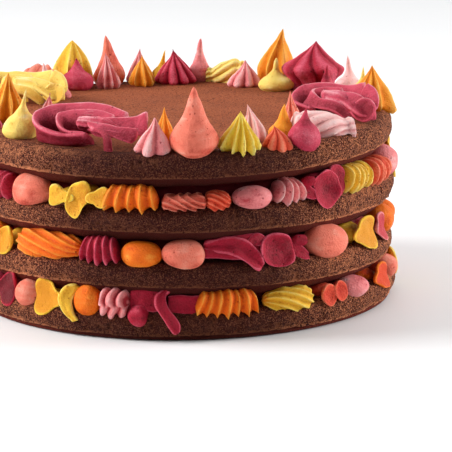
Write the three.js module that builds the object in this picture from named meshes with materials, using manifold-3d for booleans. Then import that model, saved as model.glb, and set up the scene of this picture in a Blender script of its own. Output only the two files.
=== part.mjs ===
// Naked layer cake: four chocolate sponge layers with piped buttercream between them and a
// double ring of piped kisses, stars, shells and ruffles on top.
// Millimetres, +Z up. The origin is the centre of the flat underside of the bottom layer.
// Bearings are in degrees round the cake's axis: -90 is the front, 0 the right-hand side.

import * as THREE from 'three';
import { mergeVertices } from 'three/addons/utils/BufferGeometryUtils.js';
import Module from 'manifold-3d';

const wasm = await Module();
wasm.setup();

// ---------------------------------------------------------------- driving dimensions

const RADIUS = 100;            // widest radius of a baked layer
const FACE_RADIUS = 95;        // radius of the flat upper face
const SHOULDER = 5.5;          // fall from the upper face to the widest radius
const BAND_RADIUS = 97.5;      // radius at the lower edge of the crumb band
const FOOT_RADIUS = 92;        // radius of the underside
const GAP = 0.3;               // air left between touching pieces
const WELD = 0.01;             // points closer than this are made one after a cut
const LAYER_SIDES = 44;        // facets round a layer
const ROOT_RADIUS = 86;        // where the piped pieces of a filling's rim start
const BULGE = 1.8;             // how far a plump rim piece stands out past the layers
const KNEE_RADIUS = 98.7;      // where the shoulder is at its roundest,
const KNEE_FALL = 1.9;         // and how far below the upper face that is

// Layers from the bottom up. The foot is the tucked-in part below the crumb band.
const LAYERS = [
  { name: 'sponge_1', base: 0, thick: 12.5, foot: 1.5, footRadius: 97 },
  { name: 'sponge_2', base: 17.5, thick: 15.5, foot: 4.7, footRadius: FOOT_RADIUS },
  { name: 'sponge_3', base: 42, thick: 15.5, foot: 4.7, footRadius: FOOT_RADIUS },
  { name: 'sponge_4', base: 67, thick: 15.7, foot: 4.7, footRadius: FOOT_RADIUS },
];
const TOP = LAYERS[3].base + LAYERS[3].thick;

// How the soft stack has settled, at four heights: sideways drift of the axis, lift of the rim
// as one wave and as two waves round the cake, and a slow wobble of the radius.
const SETTLE = [
  { z: 6, drift: 1.0, lift: 0, saddle: 0, saddleAt: 0, wobble: 0.5 },
  { z: 25, drift: 0.4, lift: -0.5, saddle: 0.9, saddleAt: -105, wobble: 0.7 },
  { z: 50, drift: -0.4, lift: 0.5, saddle: 1.0, saddleAt: -92, wobble: 0.6 },
  { z: 75, drift: -0.5, lift: 1.0, saddle: 0.8, saddleAt: 0, wobble: 0.6 },
];

// Sponge and buttercream colours.
const COLOURS = {
  sponge: 0x6b4433,
  crimson: 0xa3264a,
  rose: 0xc24a70,
  coral: 0xe0604c,
  salmon: 0xe98878,
  pink: 0xe8a0a6,
  blush: 0xf0c0be,
  yellow: 0xe6bf52,
  lemon: 0xf2dc92,
  orange: 0xef8a26,
};

// Stars and kisses on top: bearing, distance from the axis, half width, height, ridges (a kiss
// is smooth), how far the peak leans to the right, and a profile where it isn't the usual one.
const PEAKS = [
  ['star', 'orange', -167.3, 79, 10.2, 22, 8, 1],
  ['kiss', 'yellow', -142.6, 87, 8, 22, 0, 6, 'drop'],
  ['star', 'pink', -161.7, 61.4, 5, 13, 6, 2],
  ['star', 'pink', -96.4, 89.5, 8.7, 14.5, 5, 1.3],
  ['star', 'orange', -94.3, 76, 5.2, 16.5, 7, 0.8],
  ['kiss', 'salmon', -85.3, 89.5, 10.8, 28.3, 0, 0.3],
  ['star', 'yellow', -72.5, 89.5, 10.2, 16.3, 10, 0.5],
  ['star', 'blush', -63.9, 76, 6.4, 16.2, 8, -3.2],
  ['star', 'coral', -61.9, 92.5, 7.2, 9.2, 7, -1.5],
  ['kiss', 'orange', -53.4, 77.5, 6.2, 14, 0, 1.6],
  ['star', 'salmon', -43.8, 71, 5, 18, 7, -1],
  ['kiss', 'rose', -54.5, 95, 7.1, 15.5, 0, 0.7],
  ['star', 'orange', 2, 90.2, 12.7, 19.5, 8, 0.3],
  ['kiss', 'lemon', 17.8, 92, 6, 15, 0, 1, 'drop'],
  ['kiss', 'blush', 27.5, 92.5, 7.4, 18, 0, 1, 'drop'],
  ['kiss', 'rose', 26.5, 79, 4.2, 15.5, 0, -1],
  ['star', 'crimson', 44.8, 92.3, 16, 22.3, 6, 1.8, 'skirt'],
  ['kiss', 'lemon', 52.5, 79, 8.7, 14.4, 0, 1, 'drop'],
  ['star', 'orange', 58.7, 93.8, 9.5, 26.5, 6, -4],
  ['star', 'pink', 65.5, 80.6, 8.8, 12.5, 8, 0],
  ['kiss', 'pink', 83, 94, 5.7, 20.4, 0, 0],
  ['star', 'crimson', 90.2, 88, 10.4, 16.3, 8, 1],
  ['kiss', 'yellow', 94.6, 94.5, 5, 15, 0, -2, 'drop'],
  ['star', 'orange', 101.7, 83.2, 7, 14.5, 8, 0],
  ['star', 'pink', 101.2, 95, 6.5, 16, 8, 0],
  ['kiss', 'salmon', 110.6, 94, 8, 23.4, 0, 1],
  ['star', 'pink', 114.1, 81.6, 6.4, 17, 8, 1],
  ['kiss', 'rose', 124.6, 85, 8, 15, 0, 0],
  ['star', 'yellow', 123, 94.5, 11, 22, 8, 0],
  ['kiss', 'blush', 139.3, 82.7, 5, 15, 0, 0],
  ['kiss', 'pink', 140.5, 69, 3.2, 8.5, 0, 0],
  ['star', 'crimson', 153.5, 96, 7, 12, 8, 0],
  ['kiss', 'salmon', 167, 92, 8, 17, 0, 0],
  ['star', 'pink', 178, 90, 8.2, 13, 8, 0],
  ['kiss', 'yellow', -171.5, 91, 6.6, 18, 0, 1],
  ['star', 'rose', -159, 91, 6.6, 12, 7, 0],
];

// Ruffles piped with a petal tip: bearing, distance, half length, half depth, height and turn
// of the long axis away from the rim, in degrees.
const RUFFLES = [
  ['ruffle', 'crimson', -117, 83, 27, 12.5, 15, 0],
  ['ruffle', 'crimson', -17, 77, 27, 13.5, 16, -104],
  ['ruffle', 'lemon', 155.5, 76, 25, 12, 14, 94],
];

// Shells pulled with a star tip, given in the same way.
const SHELLS = [
  ['shell', 'blush', -42.4, 87, 15.2, 7.5, 10.5, -35],
  ['shell', 'lemon', 74.5, 92, 10.5, 6.5, 10.5, 0],
  ['shell', 'salmon', 137.6, 94, 12.5, 6.5, 12, 0],
];

// Pieces piped round the rim of each filling, from the bottom filling up: kind, colour,
// bearing, half width, and how much further than the others it hangs down. A piece that hangs
// less than nothing is lower: its upper side sinks by twice as much.
const RIMS = [
  [
    ['petal', 'crimson', -141.5, 5.5, 0], ['ball', 'salmon', -133.7, 6.4, -0.6],
    ['petal', 'yellow', -125.9, 7.2, 0.2], ['petal', 'yellow', -119.2, 4.4, 0],
    ['ball', 'orange', -115, 6.6, 0.3], ['star', 'pink', -107.2, 7, 0.3],
    ['ball', 'crimson', -99.6, 7.4, 0.8], ['petal', 'crimson', -93.2, 4.8, 0],
    ['petal', 'crimson', -88.2, 5.6, -1], ['star', 'orange', -77.5, 15, -0.4],
    ['shell', 'yellow', -60, 13, -1], ['petal', 'coral', -45.8, 7.2, -1.6],
    ['ball', 'pink', -36, 9, -1.8], ['petal', 'orange', -22, 9.4, -1.6],
    ['ball', 'salmon', -9, 8, -1],
  ],
  [
    ['petal', 'yellow', -143, 5.5, -1], ['shell', 'orange', -126.9, 19.2, 0.2],
    ['star', 'crimson', -110.9, 9.4, -0.2], ['ball', 'orange', -99.8, 9.2, -1.1],
    ['ball', 'salmon', -88.6, 9.8, -0.8], ['petal', 'crimson', -75.6, 13, 0],
    ['petal', 'crimson', -65, 9, 0], ['petal', 'crimson', -57.2, 4.2, -1],
    ['ball', 'salmon', -45.8, 12.4, 0.5], ['petal', 'yellow', -31, 10.2, -0.6],
    ['petal', 'pink', -19.6, 6.8, -1.4], ['ball', 'orange', -8.5, 9, -0.8],
  ],
  [
    ['star', 'crimson', -143, 7.8, -0.5], ['ball', 'salmon', -131.8, 10, 0.9],
    ['petal', 'yellow', -121, 6.4, -1.5], ['petal', 'yellow', -115.4, 6, 1.6],
    ['petal', 'yellow', -110.2, 5, -1.2], ['star', 'orange', -102, 12.8, 0.8],
    ['shell', 'salmon', -88.2, 10.2, -2.2], ['shell', 'coral', -79.2, 6, -2.2],
    ['ball', 'pink', -69.8, 8.8, -1.9], ['star', 'pink', -59.2, 7.4, -0.8],
    ['petal', 'crimson', -54, 3.8, -1], ['petal', 'crimson', -46.8, 10.4, 1.2],
    ['star', 'yellow', -34.6, 10.4, -0.6], ['star', 'coral', -21, 11, -1.2],
    ['ball', 'pink', -8, 8.4, -0.6],
  ],
];

const RADIANS = Math.PI / 180;

// ---------------------------------------------------------------- solids

// Closed mesh between two or more rings of equally many points, capped by a fan at each end.
// A cap's middle is the ring's own centre unless a tip is given.
function loft(rings, startTip, endTip) {
  const count = rings[0].length;
  const points = rings.flat();
  const centre = (ring) => ring.reduce((sum, p) => sum.add(p), new THREE.Vector3())
    .divideScalar(count);
  points.push(startTip ?? centre(rings[0]), endTip ?? centre(rings.at(-1)));
  const triangles = [];
  for (let i = 0; i < rings.length - 1; i++) {
    for (let j = 0; j < count; j++) {
      const a = i * count + j;
      const b = i * count + (j + 1) % count;
      triangles.push(a, b, b + count, a, b + count, a + count);
    }
  }
  const last = (rings.length - 1) * count;
  for (let j = 0; j < count; j++) {
    const next = (j + 1) % count;
    triangles.push(points.length - 2, next, j);
    triangles.push(last + j, last + next, points.length - 1);
  }
  const geometry = new THREE.BufferGeometry();
  geometry.setAttribute('position', new THREE.Float32BufferAttribute(
    points.flatMap((p) => p.toArray()), 3));
  geometry.setIndex(triangles);
  return geometry;
}

// Manifold solid of a closed geometry, for joining and cutting.
function solidOf(geometry) {
  const bare = geometry.clone();
  bare.deleteAttribute('normal');
  bare.deleteAttribute('uv');
  const merged = mergeVertices(bare, 1e-3);
  return new wasm.Manifold(new wasm.Mesh({
    numProp: 3,
    vertProperties: new Float32Array(merged.attributes.position.array),
    triVerts: new Uint32Array(merged.index.array),
  }));
}

// Outer skin of a solid's largest body: a loose scrap left by a cut is dropped and a hollow
// sealed by a join is filled.
function outerSkin(solid) {
  const body = solid.decompose().reduce((a, b) => (b.volume() > a.volume() ? b : a));
  const { triVerts, vertProperties } = body.getMesh();
  const parent = Array.from({ length: vertProperties.length / 3 }, (_, i) => i);
  const root = (i) => {
    while (parent[i] !== i) {
      i = parent[i] = parent[parent[i]];
    }
    return i;
  };
  for (let i = 0; i < triVerts.length; i += 3) {
    parent[root(triVerts[i])] = root(triVerts[i + 1]);
    parent[root(triVerts[i + 1])] = root(triVerts[i + 2]);
  }
  const outermost = vertProperties.reduce((best, x, i) => (
    i % 3 === 0 && x > vertProperties[best] ? i : best), 0) / 3;
  const kept = [...triVerts].filter((_, i) => (
    root(triVerts[i - i % 3]) === root(outermost)));
  return new wasm.Manifold(new wasm.Mesh({
    numProp: 3, vertProperties, triVerts: new Uint32Array(kept),
  }));
}

// Geometry of a joined or cut solid, with edges shorter than the weld closed up.
function geometryOf(solid) {
  const mesh = solid.getMesh();
  const geometry = new THREE.BufferGeometry();
  geometry.setAttribute('position', new THREE.Float32BufferAttribute(mesh.vertProperties, 3));
  geometry.setIndex([...mesh.triVerts]);
  const welded = mergeVertices(geometry, WELD);
  const index = [...welded.index.array];
  const corners = (i) => index.slice(i - i % 3, i - i % 3 + 3);
  welded.setIndex(index.filter((_, i) => new Set(corners(i)).size === 3));
  return welded;
}

// Straight-line value of a SETTLE field at height z.
function settleAt(field, z) {
  const above = SETTLE.findIndex((level) => level.z > z);
  if (above === 0) {
    return SETTLE[0][field];
  }
  if (above < 0) {
    return SETTLE.at(-1)[field];
  }
  const [low, high] = [SETTLE[above - 1], SETTLE[above]];
  return THREE.MathUtils.mapLinear(z, low.z, high.z, low[field], high[field]);
}

const WOBBLE_WAVES = 3;        // swells of the wobble round the cake
const WOBBLE_PITCH = 9;        // rise that carries the wobble on by one radian

// Bends a geometry, drawn on a straight round stack, into the settled cake's shape.
function settle(geometry) {
  const position = geometry.attributes.position;
  for (let i = 0; i < position.count; i++) {
    const [x, y, z] = [position.getX(i), position.getY(i), position.getZ(i)];
    const bearing = Math.atan2(y, x);
    const share = Math.hypot(x, y) / RADIUS;
    const phase = WOBBLE_WAVES * bearing + z / WOBBLE_PITCH;
    const wobble = settleAt('wobble', z) * Math.cos(phase) * share / RADIUS;
    const saddle = Math.cos(2 * (bearing - settleAt('saddleAt', z) * RADIANS));
    const lift = settleAt('lift', z) * Math.cos(bearing) + settleAt('saddle', z) * saddle;
    position.setXYZ(i, x * (1 + wobble) + settleAt('drift', z), y * (1 + wobble),
      z + lift * share);
  }
  return geometry;
}

// ---------------------------------------------------------------- sponge layers

// Half outline of a layer, grown by a margin: underside, tucked-in foot, crumb band, rounded
// shoulder and flat upper face.
function layerOutline({ base, thick, foot, footRadius }, margin) {
  const top = base + thick;
  return [
    [0, base - margin],
    [footRadius + margin / 2, base - margin],
    [BAND_RADIUS + margin, base + foot - margin / 2],
    [RADIUS + margin, top - SHOULDER],
    [KNEE_RADIUS + margin, top - KNEE_FALL + margin / 2],
    [FACE_RADIUS + margin / 2, top + margin],
    [0, top + margin],
  ].map(([radius, height]) => new THREE.Vector2(radius, height));
}

function layerGeometry(layer, margin = 0) {
  return new THREE.LatheGeometry(layerOutline(layer, margin), LAYER_SIDES).rotateX(Math.PI / 2);
}

// ---------------------------------------------------------------- fillings

// Half outline of a rim piece, each point [past which radius, by how much, height above the
// floor or the ceiling of the gap, which of the two, whether it sinks with a low piece].
const RIM_OUTLINE = [
  [FACE_RADIUS, 1, 0, 'floor', 0],           // back edge, on the layer below
  [RADIUS, 0.6, -1.3, 'floor', 0],           // belly, over the shoulder
  [RADIUS, BULGE, -1, 'floor', 0],           // lower edge of the nose, which hangs
  [RADIUS, BULGE - 0.8, 0, 'ceiling', 1],    // upper edge of the nose
  [BAND_RADIUS, -0.6, 2.6, 'ceiling', 1],    // below the crumb band of the layer above
  [FOOT_RADIUS, 0.4, -0.35, 'ceiling', 0],   // against its tucked-in foot
];
const NOSE = 2;                              // the point that hangs

// Half outline of a filling at one rim piece. Swell scales the rim's height and reach its length.
function fillingOutline(low, high, swell, reach, hang) {
  const middle = (low + high) / 2;
  return RIM_OUTLINE.map(([from, past, rise, side, sinks], i) => {
    const level = side === 'floor' ? low + GAP : high - GAP;
    const lowered = 2 * Math.min(hang, 0) * sinks - (i === NOSE ? Math.max(hang, 0) : 0);
    return [
      ROOT_RADIUS + (from + past - ROOT_RADIUS) * reach,
      middle + (level + rise + lowered - middle) * swell,
    ];
  });
}

// Stations across a rim piece, each [place from -1 to 1, swell, reach].
const STAR_RIDGE = 3.8;                      // width of a ridge of a star,
const SHELL_RIDGE = 4.2;                     // and of a shell
const SHELL_TAPER = 0.25;                    // how much smaller a shell is at its tail
const END_FALL = 0.12;                       // how much smaller the end ridges are
const BETWEEN_RIDGES = [0.78, 0.88];         // swell and reach in a valley of a piece
const BETWEEN_PIECES = [0.22, 0.34];         // swell and reach between two pieces

// Ridges with valleys between them; a taper makes one end of the row smaller. A ridge that is
// smaller by a share reaches only a little less far.
function ridgeStations(ridges, taper) {
  return Array.from({ length: 2 * ridges - 1 }, (_, i) => {
    const place = (i + 1) / ridges - 1;
    const size = (1 - taper * (1 - place) / 2) * (1 - END_FALL * place * place);
    const [swell, reach] = i % 2 ? BETWEEN_RIDGES : [1, size ** 0.2];
    return [place, size * swell, reach];
  });
}

const ridgesIn = (halfWidth, ridge) => Math.max(2, Math.round(halfWidth / ridge));
const RIM_STATIONS = {
  ball: () => [[-0.7, 0.8, 0.95], [0, 1, 1], [0.7, 0.8, 0.95]],
  petal: () => [[-0.3, 0.66, 0.92], [0.7, 1, 1]],
  star: (halfWidth) => ridgeStations(ridgesIn(halfWidth, STAR_RIDGE), 0),
  shell: (halfWidth) => ridgeStations(ridgesIn(halfWidth, SHELL_RIDGE), SHELL_TAPER),
};

// The far side repeats the near side's pieces, from this one on and with this step, until less
// than the rest, in degrees, is left of the circle; they are then spread evenly.
const FAR_SIDE = { first: 3, step: 4, rest: 8 };

function fullRim(front) {
  const arcOf = (halfWidth) => 2 * halfWidth / RADIUS / RADIANS;
  const [[, , firstBearing, firstHalf], [, , lastBearing, lastHalf]] = [front[0], front.at(-1)];
  const start = lastBearing + arcOf(lastHalf) / 2;
  const room = firstBearing + 360 - arcOf(firstHalf) / 2 - start;
  const back = [];
  let used = 0;
  while (used < room - FAR_SIDE.rest) {
    const piece = front[(back.length * FAR_SIDE.step + FAR_SIDE.first) % front.length];
    back.push(piece);
    used += arcOf(piece[3]);
  }
  const spread = room / used;
  let bearing = start;
  return [...front, ...back.map(([kind, colour, , halfWidth, hang]) => {
    const width = arcOf(halfWidth) * spread;
    bearing += width;
    return [kind, colour, bearing - width / 2, halfWidth * spread, hang];
  })];
}

// One outline for every station round the rim, joined into a closed disc with a piped edge.
function fillingGeometry(index) {
  const low = LAYERS[index].base + LAYERS[index].thick;
  const high = LAYERS[index + 1].base;
  const pieces = fullRim(RIMS[index]);
  const outlines = pieces.flatMap(([kind, , bearing, halfWidth, hang], i) => {
    const [, , following, followingHalf] = pieces[(i + 1) % pieces.length];
    const arc = halfWidth / RADIUS / RADIANS;
    const room = (following - bearing + 360) % 360;
    const share = halfWidth / (halfWidth + followingHalf);
    const stations = RIM_STATIONS[kind](halfWidth).map(([place, swell, reach]) => [
      bearing + place * arc, fillingOutline(low, high, swell, reach, hang)]);
    const valley = fillingOutline(low, high, ...BETWEEN_PIECES, 0);
    return [...stations, [bearing + room * share, valley]];
  });
  const rings = outlines.map(([bearing, outline]) => outline.map(([radius, height]) => (
    new THREE.Vector3(radius * Math.cos(bearing * RADIANS), radius * Math.sin(bearing * RADIANS),
      height))));
  const around = rings[0].map((_, level) => rings.map((ring) => ring[level]));
  return loft(around, new THREE.Vector3(0, 0, low + GAP), new THREE.Vector3(0, 0, high - GAP));
}

// ---------------------------------------------------------------- pieces on top

// Fall of the upper face at a distance from the axis: none on the flat, then the shoulder.
function shoulderDrop(distance) {
  const past = THREE.MathUtils.clamp((distance - FACE_RADIUS) / (RADIUS - FACE_RADIUS), 0, 0.8);
  return SHOULDER * (1 - Math.sqrt(1 - past * past));
}

// Places local points (x along the rim, y towards the axis, z up from the surface) at a bearing
// and distance; the lower part of the piece slumps over the shoulder.
function placeOnTop(rings, bearing, distance, height, turn = 0) {
  const spin = (bearing + 90) * RADIANS;
  const centre = new THREE.Vector3(
    distance * Math.cos(bearing * RADIANS), distance * Math.sin(bearing * RADIANS), TOP + GAP);
  return rings.map((ring) => ring.map((point) => {
    const placed = point.clone().applyAxisAngle(new THREE.Vector3(0, 0, 1),
      spin + turn * RADIANS).add(centre);
    const share = Math.max(0, 1 - point.z / height);
    placed.z -= shoulderDrop(Math.hypot(placed.x, placed.y)) * share;
    return placed;
  }));
}

// Outlines of the stars and kisses below their point: rings [height share, radius share].
const PEAK_PROFILES = {
  star: [[0, 0.94], [0.16, 1], [0.42, 0.68], [0.7, 0.34]],
  skirt: [[0, 0.66], [0.24, 0.8], [0.46, 1], [0.72, 0.44]],
  kiss: [[0, 0.84], [0.14, 1], [0.34, 0.8], [0.6, 0.42], [0.82, 0.16]],
  drop: [[0, 0.84], [0.14, 1], [0.3, 0.92], [0.5, 0.42], [0.78, 0.14]],
};
const KISS_SIDES = 8;
const STAR_VALLEY = 0.74;      // depth of a star's valleys, as a share of its ridges' radius

function peakRings([kind, , , , halfWidth, height, ridges, lean, profile = kind]) {
  const ridged = ridges > 0;
  const sides = ridged ? 2 * ridges : KISS_SIDES;
  return PEAK_PROFILES[profile].map(([rise, share]) => Array.from({ length: sides }, (_, i) => {
    const angle = 2 * Math.PI * i / sides - Math.PI / 2;
    const radius = halfWidth * share * (ridged && i % 2 ? STAR_VALLEY : 1);
    return new THREE.Vector3(radius * Math.cos(angle) + lean * rise ** 2,
      radius * Math.sin(angle), height * rise);
  }));
}

function peakSolid(piece) {
  const [, , bearing, distance, , height, , lean] = piece;
  const rings = peakRings(piece);
  const [tip] = placeOnTop([[new THREE.Vector3(lean, 0, height)]], bearing, distance, height)[0];
  return solidOf(loft(placeOnTop(rings, bearing, distance, height), undefined, tip));
}

// Shell: ridged half-round body, plump at one end and drawn out to a tail at the other.
const SHELL_STATIONS = [[-1, 0.4], [-0.75, 0.9], [-0.2, 1], [0.45, 0.8], [1, 0.44]];
const SHELL_SIDES = 10;
const SHELL_GROOVE = 0.84;     // depth of the grooves, as a share of the ridges' radius

function shellSolid([, , bearing, distance, halfLength, halfDepth, height, turn]) {
  const rings = SHELL_STATIONS.map(([place, share]) => Array.from(
    { length: SHELL_SIDES }, (_, i) => {
      const angle = Math.PI * i / (SHELL_SIDES - 1);
      const size = share * (i % 2 ? 1 : SHELL_GROOVE);
      return new THREE.Vector3(
        halfLength * place, halfDepth * size * Math.cos(angle), height * size * Math.sin(angle));
    }));
  return solidOf(loft(placeOnTop(rings, bearing, distance, height, turn)));
}

// Ruffle: a low mound wrapped in ribbon that leans outwards, two turns of a long spiral. Its
// grow is the spiral's radius, as a share of the half length, at the start and the end; its rim
// is the ribbon's height there; its shift moves the start back along the long axis.
const RIBBON = { steps: 16, thickness: 2.2, lean: 2, turns: 1.8, start: 0.9, shift: 0.1 };
const RIBBON_GROW = [0.38, 0.9];
const RIBBON_RIM = [0.98, 0.76];
const MOUND_SIDES = 8;
const MOUND_RINGS = [[0, 0.84], [0.3, 0.78], [0.44, 0.5]];

function ruffleSolid([, , bearing, distance, halfLength, halfDepth, height, turn]) {
  const { steps, thickness, lean, turns, start, shift } = RIBBON;
  const ribbon = Array.from({ length: steps }, (_, i) => {
    const share = i / (steps - 1);
    const angle = Math.PI * (start + 2 * turns * share);
    const grow = THREE.MathUtils.lerp(...RIBBON_GROW, share);
    const rim = height * THREE.MathUtils.lerp(...RIBBON_RIM, share);
    const path = new THREE.Vector3(halfLength * (grow * Math.cos(angle) - shift * (1 - share)),
      halfDepth * grow * Math.sin(angle), 0);
    const outward = new THREE.Vector3(
      Math.cos(angle) / halfLength, Math.sin(angle) / halfDepth, 0).normalize();
    const at = (offset, z) => path.clone().addScaledVector(outward, offset).setZ(z);
    return [at(0, 0), at(-thickness, 0), at(lean - thickness / 2, rim), at(lean, rim)];
  });
  const mound = MOUND_RINGS.map(([rise, share]) => Array.from(
    { length: MOUND_SIDES }, (_, i) => {
      const angle = 2 * Math.PI * i / MOUND_SIDES;
      return new THREE.Vector3(halfLength * share * Math.cos(angle),
        halfDepth * share * Math.sin(angle), height * rise);
    }));
  const put = (rings) => solidOf(loft(placeOnTop(rings, bearing, distance, height, turn)));
  return put(ribbon).add(put(mound));
}

// ---------------------------------------------------------------- the cake

function material(colour) {
  return new THREE.MeshStandardMaterial({
    color: COLOURS[colour],
    roughness: colour === 'sponge' ? 0.95 : 0.45,
    metalness: 0,
  });
}

function addMesh(group, name, geometry, colour) {
  const mesh = new THREE.Mesh(settle(geometry), material(colour));
  mesh.name = name;
  group.add(mesh);
}

function boxesMeet(a, b) {
  return a.min.every((low, axis) => low < b.max[axis] && b.min[axis] < a.max[axis]);
}

// Top pieces stand clear of the layer under them and of each other: where two press together
// the later one is cut back by the earlier one, grown a little about its own middle.
function topPieces() {
  const maker = { star: peakSolid, kiss: peakSolid, shell: shellSolid, ruffle: ruffleSolid };
  const bed = solidOf(layerGeometry(LAYERS[3], GAP));
  const placed = [];
  for (const piece of [...PEAKS, ...RUFFLES, ...SHELLS]) {
    const [kind, colour] = piece;
    const whole = maker[kind](piece);
    const neighbours = placed.filter((other) => boxesMeet(whole.boundingBox(), other.box));
    const solid = outerSkin(
      neighbours.reduce((rest, other) => rest.subtract(other.grown), whole.subtract(bed)));
    const { min, max } = solid.boundingBox();
    const middle = min.map((low, axis) => (low + max[axis]) / 2);
    const grow = min.map((low, axis) => 1 + 2 * GAP / (max[axis] - low));
    const grown = solid.translate(middle.map((value) => -value)).scale(grow).translate(middle);
    const name = `top_${kind}_${colour}_${placed.length + 1}`;
    placed.push({ name, colour, solid, grown, box: grown.boundingBox() });
  }
  return placed;
}

const cake = new THREE.Group();
for (const layer of LAYERS) {
  addMesh(cake, layer.name, mergeVertices(layerGeometry(layer)), 'sponge');
}
RIMS.forEach((_, index) => {
  addMesh(cake, `filling_${index + 1}`, fillingGeometry(index), 'salmon');
});
for (const { name, colour, solid } of topPieces()) {
  addMesh(cake, name, geometryOf(solid), colour);
}

export default cake;
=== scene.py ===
"""Looks of a naked layer cake: porous chocolate layers, piped buttercream fillings and toppings.

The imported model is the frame. Each layer, filling and topping is a numpy surface that stands
for its CAD node. Lengths in the tables are millimetres; meshes are in metres. Bearings are
degrees round the cake's axis: -90 is the front, 0 the right-hand side.
"""

import bpy
import numpy as np
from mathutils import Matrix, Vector


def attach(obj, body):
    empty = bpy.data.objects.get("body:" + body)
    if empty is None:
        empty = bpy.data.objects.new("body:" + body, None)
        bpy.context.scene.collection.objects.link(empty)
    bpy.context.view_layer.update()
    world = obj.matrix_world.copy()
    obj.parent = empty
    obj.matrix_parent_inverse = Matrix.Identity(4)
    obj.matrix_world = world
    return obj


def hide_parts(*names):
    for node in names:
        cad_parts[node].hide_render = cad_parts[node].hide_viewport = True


bl_info = {
    "name": "Layer cake",
    "version": (1, 0, 0),
    "blender": (4, 5, 0),
    "location": "View3D > Sidebar > Cake",
    "description": "Chocolate layers with piped buttercream in many colours",
    "category": "Add Mesh",
}

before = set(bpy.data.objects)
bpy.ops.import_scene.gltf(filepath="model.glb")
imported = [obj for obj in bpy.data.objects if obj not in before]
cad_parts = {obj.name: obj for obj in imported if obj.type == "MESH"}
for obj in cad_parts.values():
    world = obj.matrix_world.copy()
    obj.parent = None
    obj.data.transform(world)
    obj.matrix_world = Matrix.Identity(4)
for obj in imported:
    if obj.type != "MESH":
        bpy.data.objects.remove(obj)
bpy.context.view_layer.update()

MM = 0.001
RADIUS = 100.0                 # a layer at its widest
FACE_RADIUS = 95.0             # its flat face
BAND_RADIUS = 97.5             # the foot of its crumb band
FOOT_RADIUS = 92.0             # its tucked foot
SHOULDER = 5.5                 # height of its rounded shoulder

# Layers from the bottom up: height of the underside, thickness, foot height, foot radius.
LAYERS = (
    (0.0, 12.5, 1.5, 97.0),
    (17.5, 15.5, 4.7, FOOT_RADIUS),
    (42.0, 15.5, 4.7, FOOT_RADIUS),
    (67.0, 15.7, 4.7, FOOT_RADIUS),
)
TOP = LAYERS[3][0] + LAYERS[3][1]

# How the soft stack has settled at four heights, as the CAD model has it.
SETTLE_HEIGHTS = (6.0, 25.0, 50.0, 75.0)
SETTLE = {
    "drift": (1.0, 0.4, -0.4, -0.5),
    "lift": (0.0, -0.5, 0.5, 1.0),
    "saddle": (0.0, 0.9, 1.0, 0.8),
    "saddle_at": (0.0, -105.0, -92.0, 0.0),
    "wobble": (0.5, 0.7, 0.6, 0.6),
}

# Painted shade, body and crest colour of each buttercream, as seen on screen (0 to 255): the
# shade tone is painted into hollows, the crest tone is a painted highlight on ridges and thin
# edges, and the body is the buttercream's own colour.
ICINGS = {
    "crimson": ((104, 2, 18), (180, 22, 52), (228, 100, 122)),
    "raspberry": ((132, 10, 34), (206, 72, 94), (244, 172, 180)),
    "rose": ((132, 12, 36), (192, 50, 76), (230, 122, 138)),
    "coral": ((186, 30, 14), (232, 84, 52), (248, 148, 114)),
    "salmon": ((202, 66, 48), (240, 124, 100), (252, 182, 160)),
    "pink": ((190, 50, 60), (238, 136, 136), (252, 204, 200)),
    "blush": ((228, 130, 132), (248, 188, 184), (255, 228, 222)),
    "yellow": ((222, 144, 22), (244, 190, 50), (253, 228, 128)),
    # A brighter yellow, used only as painted light on star number 7.
    "sunny": ((240, 176, 36), (253, 214, 66), (255, 234, 140)),
    "lemon": ((232, 178, 64), (250, 214, 108), (255, 238, 172)),
    "amber": ((224, 112, 10), (248, 154, 28), (254, 202, 100)),
    "orange": ((212, 60, 2), (244, 114, 8), (253, 168, 62)),
}
# painted shade, the buttercream's own body colour, and painted highlight
TONES = ("deep", "body", "crest")

# Colours of the chocolate sponge, in the same way.
SPONGE = {
    # The foot's dense red-brown is partly painted bounce light.
    "foot": (100, 26, 16),
    "side": (78, 25, 13),
    "face": (164, 85, 50),
    "web": (232, 146, 100),
    "pores": (40, 8, 5),
    "patches": (76, 30, 18),
    # painted shade on the front of the sponge
    "browned": (54, 8, 3),
}

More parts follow.
